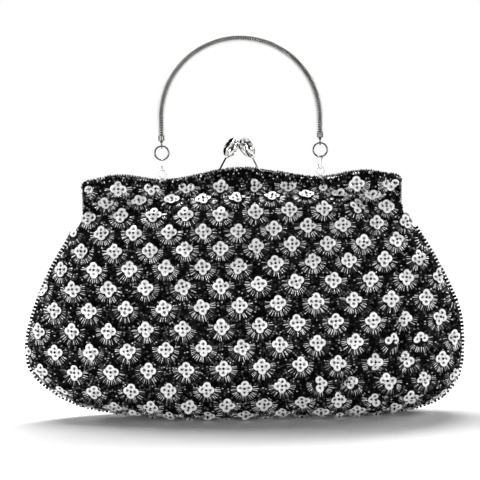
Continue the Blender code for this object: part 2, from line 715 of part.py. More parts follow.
def knob_stem(half, side, hand, half_width, parts):
    """A flat strip: its foot lies along the bow's top, and it bends up to the knob's collar."""
    lift = SEAT_GAP
    bend = STEM_BEND_X
    tail = bend + STEM_FOOT_LENGTH
    collar_foot = (
        Vector((hand * KNOB_X, 0.0, KNOB_HEIGHT)) - knob_axis(hand) * (KNOB_HALF_LENGTH + COLLAR_LENGTH / 2 + SEAT_GAP)
    )
    low = [(x, bow_top(x, half_width) + lift) for x in (tail, (tail + bend) / 2, bend)]
    tip_x = abs(collar_foot.x)
    half_strip = STEM_THICKNESS / 2
    outline = low + [
        (bend - STEM_THICKNESS, bow_top(bend, half_width) + lift),
        (tip_x - half_strip, collar_foot.z - half_strip),
        (tip_x + half_strip, collar_foot.z),
    ]
    outline += [(bend + half_strip / 2, low[2][1] + STEM_THICKNESS)]
    outline += [(x, z + STEM_THICKNESS) for x, z in reversed(low[:2])]
    bm = plate_bmesh([(hand * x, z) for x, z in outline], STEM_WIDTH, facing_front(side * BOW_MIDDLE_Y))
    foot_top = low[2][1] + STEM_THICKNESS
    lean = -side * (BOW_MIDDLE_Y + KNOB_CROSSING) / (collar_foot.z - foot_top)
    for vert in bm.verts:
        vert.co.y += lean * max(vert.co.z - foot_top, 0.0)
    add_mesh(f"{half}_knob_stem", bm, parts, "bright_steel")


# Handle


def eyelet(name, hand, parts, tools):
    """A wire eye on a small lug, brazed to the rear bow in its dip."""
    centre = (hand * HANDLE_HALF_SPAN, BOW_MIDDLE_Y, EYELET_HEIGHT)
    ring = tube_curve(name, oval(centre, EYELET_RADIUS, 0.0, Vector((1.0, 0.0, 0.0))),
                      RING_WIRE_RADIUS, parts, None, cyclic=True)
    eye = add_mesh(f"{name}_wire", curve_to_bmesh(ring), tools)
    bm = bmesh.new()
    bmesh.ops.create_cube(bm, size=1.0)
    bm.transform(Matrix.Diagonal((EYELET_LUG_WIDTH, EYELET_LUG_THICKNESS, EYELET_LUG_HEIGHT, 1.0)))
    low = FRAME_DIP_HEIGHT + SEAT_GAP
    bm.transform(Matrix.Translation((centre[0], centre[1], low + EYELET_LUG_HEIGHT / 2)))
    lug = add_mesh(name, bm, parts, "bright_steel")
    boolean(lug, eye, "UNION")


def link(name, hand, turn, parts):
    """A long upright link, from the eyelet's top wire to the ring's bottom wire. At no turn it's seen edge on."""
    low = LINK_PIVOT_HEIGHT - RING_WIRE_RADIUS - SEAT_GAP - WIRE_RADIUS
    high = RING_PIVOT_HEIGHT + RING_WIRE_RADIUS + SEAT_GAP + WIRE_RADIUS
    centre = (hand * HANDLE_HALF_SPAN, BOW_MIDDLE_Y, (low + high) / 2)
    sideways = Vector((math.sin(turn), math.cos(turn), 0.0))
    points = oval(centre, LINK_HALF_WIDTH, (high - low) / 2 - LINK_HALF_WIDTH, sideways)
    tube_curve(name, points, WIRE_RADIUS, parts, "bright_steel", cyclic=True)


def split_ring(name, hand, parts):
    """The round ring between link and end cap, seen face on from the front."""
    centre = (hand * HANDLE_HALF_SPAN, BOW_MIDDLE_Y, RING_PIVOT_HEIGHT + RING_RADIUS)
    points = oval(centre, RING_RADIUS, 0.0, Vector((1.0, 0.0, 0.0)))
    tube_curve(name, points, RING_WIRE_RADIUS, parts, "bright_steel", cyclic=True)


def end_cap(name, hand, parts, tools):
    """A turned sleeve on the chain's end, with a neck and a wire eye on the ring."""
    x = hand * HANDLE_HALF_SPAN
    low = CAP_BASE_HEIGHT
    sleeve = rod_bmesh((x, BOW_MIDDLE_Y, low), (x, BOW_MIDDLE_Y, low + CAP_LENGTH), CAP_RADIUS)
    cap = add_mesh(name, sleeve, parts, "bright_steel", smooth=True)
    neck = rod_bmesh(
        (x, BOW_MIDDLE_Y, CAP_PIVOT_HEIGHT + CAP_EYE_RADIUS), (x, BOW_MIDDLE_Y, low + WIRE_RADIUS), CAP_NECK_RADIUS
    )
    boolean(cap, add_mesh(f"{name}_neck", neck, tools), "UNION")
    centre = (x, BOW_MIDDLE_Y, CAP_PIVOT_HEIGHT)
    ring = tube_curve(f"{name}_eye", oval(centre, CAP_EYE_RADIUS, 0.0, Vector((0.0, 1.0, 0.0))),
                      WIRE_RADIUS, tools, None, cyclic=True)
    boolean(cap, add_mesh(f"{name}_eye", curve_to_bmesh(ring), tools), "UNION")
    top = low + CAP_LENGTH
    bore = rod_bmesh(
        (x, BOW_MIDDLE_Y, top - CAP_BORE_DEPTH), (x, BOW_MIDDLE_Y, top + CUT_OVERRUN), CAP_BORE_RADIUS
    )
    boolean(cap, add_mesh(f"{name}_bore", bore, tools), "DIFFERENCE")


def chain_point(distance):
    """A point of the handle's centre line this far along it from the left cap."""
    if distance < CHAIN_STRAIGHT:
        return Vector((-HANDLE_HALF_SPAN, BOW_MIDDLE_Y, CHAIN_END_HEIGHT + distance))
    if distance > ARCH_LENGTH - CHAIN_STRAIGHT:
        return Vector((HANDLE_HALF_SPAN, BOW_MIDDLE_Y, CHAIN_END_HEIGHT + ARCH_LENGTH - distance))
    angle = math.pi - (distance - CHAIN_STRAIGHT) / HANDLE_HALF_SPAN
    across, up = HANDLE_HALF_SPAN * math.cos(angle), HANDLE_HALF_SPAN * math.sin(angle)
    return Vector((across, BOW_MIDDLE_Y, CHAIN_END_HEIGHT + CHAIN_STRAIGHT + up))


def snake_chain(parts):
    """The ribbed chain: one tube in an arch, a crest and a groove for each rib, tapered into the caps."""
    plug = CAP_BORE_RADIUS - SEAT_GAP
    into_cap = Vector((0.0, 0.0, SEAT_GAP - CAP_BORE_DEPTH))
    points = [chain_point(0.0) + into_cap, chain_point(0.0)]
    radii = [plug, plug]
    for rib in range(CHAIN_RIBS):
        for share, groove in ((0.25, 0.0), (0.75, CHAIN_GROOVE)):
            distance = ARCH_LENGTH * (rib + share) / CHAIN_RIBS
            near_end = min(distance, ARCH_LENGTH - distance)
            size = CHAIN_END_RADIUS + (CHAIN_RADIUS - CHAIN_END_RADIUS) * ease(near_end / CHAIN_TAPER_LENGTH)
            points.append(chain_point(distance))
            radii.append(size - groove)
    points += [chain_point(ARCH_LENGTH), chain_point(ARCH_LENGTH) + into_cap]
    radii += [plug, plug]
    shares = [radius / CHAIN_RADIUS for radius in radii]
    tube_curve("snake_chain", points, CHAIN_RADIUS, parts, "bright_steel", radii=shares)


def main():
    clear_scene()
    parts = new_collection("evening_clutch")
    tools = new_collection("cutters")
    tools.hide_render = True

    for half, side in (("front", -1), ("rear", 1)):
        pouch_layers(half, side, parts, tools)
    inner_pocket(parts)
    seam_edging(parts)

    for half, side, hand, half_width in (
        ("front", -1, -1, FRAME_HALF_WIDTH),
        ("rear", 1, 1, REAR_BOW_HALF_WIDTH),
    ):
        frame_bow(half, side, half_width, parts, tools)
        frame_cord(half, side, half_width, parts)
        upper_panel(half, side, parts)
        upper_lining(half, side, parts)
        knob(half, side, hand, parts, tools)
        knob_stem(half, side, hand, half_width, parts)

    for name, hand in (("left", -1), ("right", 1)):
        hinge_rivet(f"{name}_hinge_rivet", hand, parts, tools)
        eyelet(f"{name}_eyelet", hand, parts, tools)
        link(f"{name}_link", hand, LINK_TURNS[name], parts)
        split_ring(f"{name}_ring", hand, parts)
        end_cap(f"{name}_end_cap", hand, parts, tools)
    snake_chain(parts)


main()
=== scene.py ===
"""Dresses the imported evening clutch: beaded skins, satin lining, plated frame, kiss-lock and chain handle.

Metres, +Z up, the front faces -Y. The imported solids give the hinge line, the height of the frame's crown
and the bodies that pieces ride on.
"""

import json
import logging
import math
from dataclasses import dataclass, field
from enum import Enum
from functools import cached_property
from typing import Iterable, Sequence

import bmesh
import bpy
import numpy as np
from mathutils import Matrix, Vector, noise


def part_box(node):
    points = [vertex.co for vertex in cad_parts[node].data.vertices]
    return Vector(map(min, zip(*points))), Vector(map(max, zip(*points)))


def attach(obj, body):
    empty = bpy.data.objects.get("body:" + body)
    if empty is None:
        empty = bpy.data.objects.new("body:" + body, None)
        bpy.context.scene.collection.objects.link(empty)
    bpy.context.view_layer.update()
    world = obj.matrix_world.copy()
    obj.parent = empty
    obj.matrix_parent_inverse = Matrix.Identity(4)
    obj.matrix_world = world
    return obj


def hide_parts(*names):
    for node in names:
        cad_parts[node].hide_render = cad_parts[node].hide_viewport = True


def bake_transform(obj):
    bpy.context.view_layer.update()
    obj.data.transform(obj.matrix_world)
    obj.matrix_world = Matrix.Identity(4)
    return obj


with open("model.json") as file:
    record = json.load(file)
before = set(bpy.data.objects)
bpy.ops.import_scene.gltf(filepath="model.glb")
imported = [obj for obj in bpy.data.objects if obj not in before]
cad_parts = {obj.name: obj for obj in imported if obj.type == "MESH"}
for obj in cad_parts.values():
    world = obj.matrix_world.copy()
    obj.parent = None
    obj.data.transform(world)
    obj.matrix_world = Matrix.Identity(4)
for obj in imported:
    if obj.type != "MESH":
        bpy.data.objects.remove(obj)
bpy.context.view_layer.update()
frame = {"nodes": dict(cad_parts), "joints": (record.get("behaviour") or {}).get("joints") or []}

log = logging.getLogger("evening_clutch")

Colour = tuple[float, float, float]
Grid = np.ndarray

HINGE_HEIGHT = next(joint["pos_m"][2] for joint in frame["joints"] if joint["name"] == "front_half_hinge")
FRAME_CROWN_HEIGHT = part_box("front_frame")[1].z
FRAME_HALF_WIDTH = 0.101
REAR_BOW_HALF_WIDTH = 0.0997
FRAME_REVEAL = 0.0003
EDGE_RISE = 0.0006
BOW_MIDDLE_Y = 0.0027
HALF_GAP = 0.0004
INNER_GAP = HALF_GAP * 1.5
EYELET_X = 0.0502
EYELET_DIP = FRAME_CROWN_HEIGHT - 0.0065
BLEND_REACH = 0.016
BLEND_START = (0.0, 0.0, HINGE_HEIGHT - BLEND_REACH)
BLEND_END = (0.0, 0.0, HINGE_HEIGHT + BLEND_REACH)
MOST_TRIANGLES = 190_000
WELD = 1e-7
LOOP_SIDES = 12
BEAD_CREASE = 75.0
METAL_CREASE = 50.0
CUP_PROFILE = ((0.20, 0.0), (0.46, 0.06), (0.97, 1.0), (1.0, 0.86), (0.48, -0.024), (0.20, -0.036))


class Half(Enum):
    """The two halves of the bag that swing apart. The value is the sign of Y on which the half lies."""

    FRONT = -1
    REAR = 1

    @property
    def label(self) -> str:
        """The half's name, as pieces and bodies spell it."""
        return self.name.lower()

    @property
    def body(self) -> str:
        """The body that the half's bow rides on."""
        return f"{self.label}_half"

    @property
    def mirror(self) -> Grid:
        """What turns a front point into a point of this half."""
        return np.array((1.0, -float(self.value), 1.0))


class Hand(Enum):
    """Left or right as seen from the front. The value is the sign of X."""

    LEFT = -1
    RIGHT = 1

    @property
    def label(self) -> str:
        """The side's name, as pieces and bodies spell it."""
        return self.name.lower()


def ease(value: "Grid | float") -> Grid:
    """A smooth step from 0 to 1."""
    value = np.clip(value, 0.0, 1.0)
    return value * value * (3 - 2 * value)


def unit(vectors: Grid) -> Grid:
    """The vectors along the last axis at length 1."""
    return vectors / np.maximum(np.linalg.norm(vectors, axis=-1, keepdims=True), 1e-12)


def run_lengths(path: Grid) -> Grid:
    """How far along a path each of its points lies."""
    return np.concatenate([[0.0], np.cumsum(np.linalg.norm(np.diff(path, axis=0), axis=1))])


def at_lengths(spots: Grid, lengths: Grid, path: Grid) -> Grid:
    """The points of a path at some distances along it."""
    return np.stack([np.interp(spots, lengths, path[:, axis]) for axis in range(3)], axis=1)


def circle(sides: int) -> tuple[Grid, Grid]:
    """Cosines and sines of evenly spread angles."""
    turn = np.arange(sides) * 2 * math.pi / sides
    return np.cos(turn), np.sin(turn)


def smooth_rows(points: Grid, steps: int) -> Grid:
    """A smooth curve through rows of points.

    Args:
        points: The rows to pass through, along the first axis.
        steps: How many steps each gap between rows is cut into.

    Returns:
        The finer rows, with the given ones among them.
    """
    padded = np.concatenate([2 * points[:1] - points[1:2], points, 2 * points[-1:] - points[-2:-1]])
    rows = []
    for index in range(len(points) - 1):
        before, start, end, after = padded[index:index + 4]
        for share in np.arange(steps) / steps:
            rows.append(0.5 * (
                2 * start
                + (end - before) * share
                + (2 * before - 5 * start + 4 * end - after) * share ** 2
                + (3 * start - before - 3 * end + after) * share ** 3
            ))
    rows.append(points[-1])
    return np.array(rows)


# Shader graphs


class Wire:
    """A socket of a shader graph, on which arithmetic adds Math nodes."""

    def __init__(self, graph: "Graph", socket: bpy.types.NodeSocket) -> None:
        """Wraps an output socket of a graph."""
        self.graph = graph
        self.socket = socket

    def _math(self, operation: str, first: "Wire | float", second: "Wire | float" = 0.0) -> "Wire":
        """Adds one Math node and returns its output."""
        return self.graph.wire("ShaderNodeMath", {"operation": operation}, {0: first, 1: second})

    def __add__(self, other: "Wire | float") -> "Wire":
        """Sum."""
        return self._math("ADD", self, other)

    __radd__ = __add__

    def __rsub__(self, other: float) -> "Wire":
        """A number less this value."""
        return self._math("SUBTRACT", other, self)

    def __mul__(self, other: "Wire | float") -> "Wire":
        """Product."""
        return self._math("MULTIPLY", self, other)

    __rmul__ = __mul__

    def __pow__(self, other: "Wire | float") -> "Wire":
        """Power."""
        return self._math("POWER", self, other)

    def __abs__(self) -> "Wire":
        """Size without its sign."""
        return self._math("ABSOLUTE", self)

    def wave(self, pitch: float) -> "Wire":
        """A sine from -1 to 1 that repeats at a pitch."""
        return self._math("SINE", self * (2 * math.pi / pitch))

    def at_least(self, other: "Wire | float") -> "Wire":
        """The larger of two values."""
        return self._math("MAXIMUM", self, other)

    def step(self, low: float, high: float) -> "Wire":
        """A smooth step from 0 at low to 1 at high."""
        inputs = {"Value": self, "From Min": low, "From Max": high}
        return self.graph.wire("ShaderNodeMapRange", {"interpolation_type": "SMOOTHSTEP"}, inputs, "Result")


class Graph:
    """The node tree of one material or of the world."""

    def __init__(self, tree: bpy.types.NodeTree) -> None:
        """Clears the tree and keeps it."""
        self.tree = tree
        self.tree.nodes.clear()

    def node(self, kind: str, settings: dict | None = None, inputs: dict | None = None) -> bpy.types.Node:
        """Adds a node.

        Args:
            kind: Blender's name for the node's type.
            settings: Its properties, which are set first.
            inputs: A value or a wire for each named or numbered socket.

        Returns:
            The new node.
        """
        made = self.tree.nodes.new(kind)
        for name, value in (settings or {}).items():
            setattr(made, name, value)
        for name, value in (inputs or {}).items():
            socket = made.inputs[name]
            if isinstance(value, Wire):
                self.tree.links.new(value.socket, socket)
            else:
                socket.default_value = (*value, 1.0) if socket.type == "RGBA" else value
        return made

    def wire(self, kind: str, settings: dict | None = None, inputs: dict | None = None,
             output: str | int = 0) -> Wire:
        """Adds a node and returns one of its outputs."""
        return Wire(self, self.node(kind, settings, inputs).outputs[output])

    def place(self) -> Wire:
        """Object coordinates."""
        return self.wire("ShaderNodeTexCoord", output="Object")

    def parts(self, vector: Wire) -> tuple[Wire, Wire, Wire]:
        """The X, Y and Z of a vector."""
        made = self.node("ShaderNodeSeparateXYZ", None, {"Vector": vector})
        return Wire(self, made.outputs[0]), Wire(self, made.outputs[1]), Wire(self, made.outputs[2])

    def attribute(self, name: str) -> Wire:
        """A number kept on the mesh."""
        return self.wire("ShaderNodeAttribute", {"attribute_name": name}, output="Fac")

    def stretched(self, vector: Wire, scale: Colour) -> Wire:
        """A vector with each axis scaled."""
        return self.wire("ShaderNodeMapping", None, {"Vector": vector, "Scale": scale})

    def noise(self, vector: Wire, scale: float, detail: float = 2.0, roughness: float = 0.5) -> Wire:
        """Cloudy noise from 0 to 1."""
        inputs = {"Vector": vector, "Scale": scale, "Detail": detail, "Roughness": roughness}
        return self.wire("ShaderNodeTexNoise", None, inputs)

    def mix(self, share: "Wire | float", first: "Wire | Colour", second: "Wire | Colour") -> Wire:
        """A colour between two others."""
        return self.wire("ShaderNodeMix", {"data_type": "RGBA"}, {0: share, 6: first, 7: second}, 2)

    def bump(self, height: Wire, distance: float, strength: float) -> Wire:
        """A normal from a height."""
        inputs = {"Height": height, "Distance": distance, "Strength": strength}
        return self.wire("ShaderNodeBump", None, inputs)

    def surface(self, **inputs: "Wire | float | Colour") -> None:
        """Ends a material in one Principled shader.

        Args:
            inputs: Its sockets, with spaces in their names written as underscores.
        """
        named = {name.replace("_", " "): value for name, value in inputs.items()}
        shader = self.wire("ShaderNodeBsdfPrincipled", None, named)
        self.node("ShaderNodeOutputMaterial", None, {"Surface": shader})


# Finishes


@dataclass(frozen=True)
class Finish:
    """What every finish has: a name, and a method that paints its graph."""

    name: str

    def paint(self, graph: Graph) -> None:
        """Draws the finish into an empty graph."""
        raise NotImplementedError

    def material(self) -> bpy.types.Material:
        """Makes the finish's material once.

        Returns:
            The material, which pieces of one finish share.
        """
        made = bpy.data.materials.get(self.name)
        if made is None:
            made = bpy.data.materials.new(self.name)
            made.use_nodes = True
            self.paint(Graph(made.node_tree))
        return made


@dataclass(frozen=True)
class NickelPlate(Finish):
    """Polished plate with faint smudges and hairline wear."""

    colour: Colour = (0.80, 0.80, 0.785)
    worn: Colour = (0.66, 0.655, 0.63)
    roughness: float = 0.10
    smudge_scale: float = 240.0
    smudge_roughness: float = 0.10
    scratch_scale: float = 5200.0
    scratch_stretch: Colour = (1.0, 1.0, 0.12)
    scratch_roughness: float = 0.04
    scratch_height: float = 0.00002

    def paint(self, graph: Graph) -> None:
        """Smudges vary the gloss, and fine scratches lift the normal a little.

        Args:
            graph: The material's empty graph.
        """
        place = graph.place()
        smudge = graph.noise(place, self.smudge_scale, 3.0)
        scratch = graph.noise(graph.stretched(place, self.scratch_stretch), self.scratch_scale)
        smudged = self.roughness + self.smudge_roughness * smudge.step(0.35, 0.8)
        graph.surface(
            Base_Color=graph.mix(smudge.step(0.42, 0.75), self.colour, self.worn),
            Metallic=1.0,
            Roughness=smudged + self.scratch_roughness * scratch,
            Normal=graph.bump(scratch, self.scratch_height, 0.35),
        )


@dataclass(frozen=True)
class JetGlass(Finish):
    """Black glass beads, each with a slightly different tone and gloss."""

    dark: Colour = (0.0010, 0.0010, 0.0013)
    pale: Colour = (0.50, 0.50, 0.51)
    flash_power: float = 5.0
    gleam_power: float = 2.0
    smoothest: float = 0.08
    roughness_range: float = 0.14
    refraction: float = 1.10

    def paint(self, graph: Graph) -> None:
        """The bead's own tone picks how much its cut faces flash and how smooth they are.

        Args:
            graph: The material's empty graph.
        """
        tone = graph.attribute("tone")
        graph.surface(
            Base_Color=graph.mix(tone ** self.flash_power, self.dark, self.pale),
            Metallic=tone ** self.gleam_power,
            Roughness=self.smoothest + self.roughness_range * tone,
            IOR=self.refraction,
        )


@dataclass(frozen=True)
class SteelGlass(Finish):
    """Bugle beads of steel-lined black glass: some catch the light, some stay dark."""

    deep: Colour = (0.05, 0.05, 0.053)
    bright: Colour = (0.70, 0.70, 0.71)
    brightest_tone: float = 0.80
    metal: float = 0.85
    smoothest: float = 0.16
    roughness_range: float = 0.16

    def paint(self, graph: Graph) -> None:
        """The bead's own tone picks how bright its lining is.

        Args:
            graph: The material's empty graph.
        """
        tone = graph.attribute("tone")
        graph.surface(
            Base_Color=graph.mix(tone.step(0.0, self.brightest_tone), self.deep, self.bright),
            Metallic=self.metal,
            Roughness=self.smoothest + self.roughness_range * tone,
        )


@dataclass(frozen=True)
class SilverFoil(Finish):
    """Sequin foil: bright silver film over white, with a painted grey ring of shade where the cup folds round
    the pierced middle.
    """

    bright: Colour = (0.97, 0.97, 0.965)
    grey: Colour = (0.80, 0.80, 0.79)
    # Painted shade for the ring where the cup folds.
    ring: Colour = (0.10, 0.10, 0.10)
    mottle_scale: float = 620.0
    mottle_height: float = 0.00010
    tone_share: float = 0.22
    metal: float = 0.14
    smoothest: float = 0.26
    roughness_range: float = 0.22

    def paint(self, graph: Graph) -> None:
        """Mottling at a third of a sequin's width, and the painted shade ring from the place across the
        sequin.

        Args:
            graph: The material's empty graph.
        """
        tone, reach = graph.attribute("tone"), graph.attribute("reach")
        mottle = graph.noise(graph.place(), self.mottle_scale, 2.0, 0.6)
        cloud = (mottle + self.tone_share * tone).step(0.50, 0.84)
        # The ring of painted shade where the cup folds, broken up by the mottling.
        band = reach.step(0.20, 0.26) * (1 - reach.step(0.36, 0.46)) * mottle.step(0.34, 0.56)
        graph.surface(
            Base_Color=graph.mix(band, graph.mix(cloud, self.bright, self.grey), self.ring),
            Metallic=self.metal,
            Roughness=self.smoothest + self.roughness_range * mottle,
            Normal=graph.bump(mottle, self.mottle_height, 0.4),
            Coat_Weight=0.35,
            Coat_Roughness=0.10,
        )


@dataclass(frozen=True)
class WovenCloth(Finish):
    """Plain black cloth under the beads, with a visible weave."""

    colour: Colour = (0.0015, 0.0015, 0.0018)
    thread: Colour = (0.007, 0.007, 0.008)
    pitch: float = 0.00045
    fray_scale: float = 900.0
    weave_height: float = 0.00012

    def paint(self, graph: Graph) -> None:
        """Crossed sines make the weave, and noise frays it.

        Args:
            graph: The material's empty graph.
        """
        place = graph.place()
        x, _, z = graph.parts(place)
        weave = x.wave(self.pitch) * z.wave(self.pitch) * 0.5 + 0.5
        fray = graph.noise(place, self.fray_scale, 3.0)
        graph.surface(
            Base_Color=graph.mix(weave * fray, self.colour, self.thread),
            Roughness=0.62 + 0.2 * fray,
            Normal=graph.bump(weave * 0.7 + fray * 0.3, self.weave_height, 0.8),
            Specular_IOR_Level=0.12,
        )


@dataclass(frozen=True)
class Satin(Finish):
    """Black satin: a fine twill line, soft folds of sheen painted into its colour."""

    colour: Colour = (0.010, 0.010, 0.012)
    sheen_colour: Colour = (0.045, 0.045, 0.052)
    pitch: float = 0.00038
    slope: float = 0.6
    nap_scale: float = 85.0
    nap_stretch: Colour = (1.0, 1.0, 0.35)
    nap_height: float = 0.0001

    def paint(self, graph: Graph) -> None:
        """A diagonal line for the twill and a slow cloud for the hand-smoothed nap, which also paints soft
        patches of sheen into the colour.

        Args:
            graph: The material's empty graph.
        """
        place = graph.place()
        x, _, z = graph.parts(place)
        twill = (x + self.slope * z).wave(self.pitch) * 0.5 + 0.5
        nap = graph.noise(graph.stretched(place, self.nap_stretch), self.nap_scale, 3.0)
        graph.surface(
            # The lighter patches are painted sheen.
            Base_Color=graph.mix(nap.step(0.35, 0.75), self.colour, self.sheen_colour),
            Roughness=0.30 + 0.18 * nap + 0.06 * twill,
            Normal=graph.bump(twill * 0.4 + nap, self.nap_height, 0.5),
            Sheen_Weight=0.35,
            Sheen_Roughness=0.3,
        )


@dataclass(frozen=True)
class Wadding(Finish):
    """Needled white wadding between cloth and lining."""

    colour: Colour = (0.72, 0.71, 0.67)
    shade: Colour = (0.52, 0.51, 0.47)
    fibre_scale: float = 1400.0
    clump_scale: float = 160.0
    felt_height: float = 0.0005

    def paint(self, graph: Graph) -> None:
        """Felted fibres from two scales of noise.

        Args:
            graph: The material's empty graph.
        """
        place = graph.place()
        fibre = graph.noise(place, self.fibre_scale, 4.0, 0.7)
        clump = graph.noise(place, self.clump_scale, 3.0)
        graph.surface(
            Base_Color=graph.mix(clump * fibre, self.colour, self.shade),
            Roughness=0.9 - 0.1 * fibre,
            Normal=graph.bump(fibre * 0.6 + clump, self.felt_height, 0.9),
        )


@dataclass(frozen=True)
class PaperCord(Finish):
    """Twisted brown paper cord."""

    colour: Colour = (0.60, 0.50, 0.35)
    crease: Colour = (0.33, 0.25, 0.16)
    twist_pitch: float = 0.0016
    pulp_scale: float = 2600.0
    crease_height: float = 0.0003

    def paint(self, graph: Graph) -> None:
        """Diagonal creases along the cord, with painted shade in their grooves.

        Args:
            graph: The material's empty graph.
        """
        place = graph.place()
        x, y, z = graph.parts(place)
        twist = (x + z + y).wave(self.twist_pitch) * 0.5 + 0.5
        pulp = graph.noise(place, self.pulp_scale, 3.0)
        graph.surface(
            # The darker crease colour in the twist's grooves is painted shade.
            Base_Color=graph.mix(twist * 0.7 + pulp * 0.3, self.crease, self.colour),
            Roughness=0.85 + 0.1 * pulp,
            Normal=graph.bump(twist + pulp * 0.2, self.crease_height, 0.7),
        )


PLATE = NickelPlate("bright_nickel_plate")
EYE_PLATE = NickelPlate("pale_nickel_plate", (0.90, 0.895, 0.84), (0.78, 0.77, 0.70), 0.34)
# A darker copy of the same nickel: painted shade that makes the chain look darker than the frame.
CHAIN_PLATE = NickelPlate("chain_nickel_plate", (0.46, 0.455, 0.435), (0.34, 0.335, 0.32), 0.12)
# A much darker copy of the same nickel: painted shade that makes the jump rings and end caps look dark.
SHADED_PLATE = NickelPlate("shaded_nickel_plate", (0.15, 0.148, 0.14), (0.09, 0.088, 0.08), 0.12)
# A darker copy of the same nickel: painted shade on the right knob's strip.
SHADED_STRIP_PLATE = NickelPlate("worn_nickel_plate", (0.36, 0.355, 0.34), (0.24, 0.235, 0.22), 0.16)
# Near black: painted shade for the core between the rosebud's petals, the core between the chain's ribs and
# the left knob's shaded strip.
SHADE_PLATE = NickelPlate("oxidised_core", (0.016, 0.016, 0.015), (0.010, 0.010, 0.009), 0.35)
JET = JetGlass("jet_glass_beads")
STEEL_GLASS = SteelGlass("steel_lined_bugles")
FOIL = SilverFoil("silver_sequin_foil")
CLOTH = WovenCloth("black_ground_cloth")
SATIN = Satin("black_lining_satin")
FLEECE = Wadding("white_wadding")
CORD = PaperCord("twisted_paper_cord")


# Mesh making


def face_outward(bm: bmesh.types.BMesh) -> None:
    """Makes the normals agree and turns them by the sign of the volume.

    Args:
        bm: A closed mesh.
    """
    bmesh.ops.recalc_face_normals(bm, faces=bm.faces)
    if bm.calc_volume(signed=True) < 0:
        bmesh.ops.reverse_faces(bm, faces=bm.faces)


def loft(points: Grid, around: bool = False, along: bool = False, capped: bool = False) -> bmesh.types.BMesh:
    """A skin over a grid of points.

    Args:
        points: Rows of points, as (row, column, xyz).
        around: Whether the last column joins the first.
        along: Whether the last row joins the first.
        capped: Whether the open ends are filled.

    Returns:
        The mesh, with its normals outward if it is closed.
    """
    if around:
        points = np.concatenate([points, points[:, :1]], axis=1)
    if along:
        points = np.concatenate([points, points[:1]], axis=0)
    rows, columns = points.shape[:2]
    bm = bmesh.new()
    bmesh.ops.create_grid(bm, x_segments=columns - 1, y_segments=rows - 1, size=1.0)
    for vert in bm.verts:
        column = round((vert.co.x + 1) / 2 * (columns - 1))
        row = round((vert.co.y + 1) / 2 * (rows - 1))
        vert.co = points[row, column]
    if around or along:
        bmesh.ops.remove_doubles(bm, verts=bm.verts, dist=WELD)
    if capped:
        bmesh.ops.holes_fill(bm, edges=[edge for edge in bm.edges if edge.is_boundary], sides=0)
    if capped or (around and along):
        face_outward(bm)
    return bm


def sweep(path: Grid, radii: "float | Grid", sides: int, closed: bool = False,
          up: Colour = (0.0, 1.0, 0.0)) -> Grid:
    """Rings of points round a path.

    Args:
        path: The centre line, as (point, xyz).
        radii: One radius, or one for each point of the path.
        sides: Points in each ring.
        closed: Whether the path is a loop.
        up: A direction that the path doesn't run along, which keeps the rings from twisting.

    Returns:
        The rings, as (path point, side, xyz).
    """
    if closed:
        ahead, behind = np.roll(path, -1, axis=0), np.roll(path, 1, axis=0)
    else:
        ahead = np.concatenate([path[1:], path[-1:]])
        behind = np.concatenate([path[:1], path[:-1]])
    along = unit(ahead - behind)
    across = unit(np.cross(along, np.array(up)))
    over = np.cross(across, along)
    cosine, sine = circle(sides)
    radii = np.broadcast_to(np.asarray(radii, float), (len(path),))[:, None, None]
    ring = across[:, None] * cosine[None, :, None] + over[:, None] * sine[None, :, None]
    return path[:, None] + ring * radii


def wire_loop(centre: Sequence[float], half_width: float, half_straight: float, sideways: Vector,
              radius: float, steps: int = 48) -> bmesh.types.BMesh:
    """An upright ring or long link of round wire.

    Args:
        centre: The middle of the loop.
        half_width: Radius of the wire's centre line in its bends.
        half_straight: Half the length of the straight part between the bends.
        sideways: The level direction that its width runs along.
        radius: Radius of the wire.
        steps: Points along the wire.

    Returns:
        The closed loop.
    """
    turn = (np.arange(steps) + 0.5) * 2 * math.pi / steps
    across = half_width * np.cos(turn)
    rise = half_width * np.sin(turn) + np.sign(np.sin(turn)) * half_straight
    path = np.array(centre) + across[:, None] * np.array(sideways) + rise[:, None] * np.array((0.0, 0.0, 1.0))
    facing = Vector(sideways).cross(Vector((0.0, 0.0, 1.0)))
    return loft(sweep(path, radius, LOOP_SIDES, closed=True, up=tuple(facing)), around=True, along=True)


def turned(profile: Sequence[tuple[float, float]], sides: int = 32) -> bmesh.types.BMesh:
    """A body turned about Z.

    Args:
        profile: Its outline as (radius, height) points that start and end on the axis.
        sides: Steps round the axis.

    Returns:
        The closed body.
    """
    bm = bmesh.new()
    verts = [bm.verts.new((radius, 0.0, height)) for radius, height in profile]
    edges = [bm.edges.new(pair) for pair in zip(verts, verts[1:])]
    bmesh.ops.spin(bm, geom=verts + edges, cent=(0, 0, 0), axis=(0, 0, 1), angle=2 * math.pi, steps=sides,
                   use_merge=True)
    bmesh.ops.remove_doubles(bm, verts=bm.verts, dist=WELD)
    face_outward(bm)
    return bm


def as_mesh(name: str, bm: bmesh.types.BMesh) -> bpy.types.Mesh:
    """Moves a bmesh into a mesh.

    Args:
        name: What the mesh is called.
        bm: The shape, which is freed.

    Returns:
        The mesh.
    """
    mesh = bpy.data.meshes.new(name)
    bm.to_mesh(mesh)
    bm.free()
    return mesh


def joined(parts: Iterable[bmesh.types.BMesh]) -> bmesh.types.BMesh:
    """Gathers separate closed shapes.

    Args:
        parts: The shapes, which are freed.

    Returns:
        One mesh that holds them all.
    """
    whole = bmesh.new()
    for part in parts:
        mesh = as_mesh("part", part)
        whole.from_mesh(mesh)
        bpy.data.meshes.remove(mesh)
    return whole


def linked(name: str, data: bpy.types.ID) -> bpy.types.Object:
    """Puts a mesh, a lamp or a camera into the scene.

    Args:
        name: What the object is called.
        data: What it holds.

    Returns:
        The object, at the origin.
    """
    made = bpy.data.objects.new(name, data)
    bpy.context.scene.collection.objects.link(made)
    return made


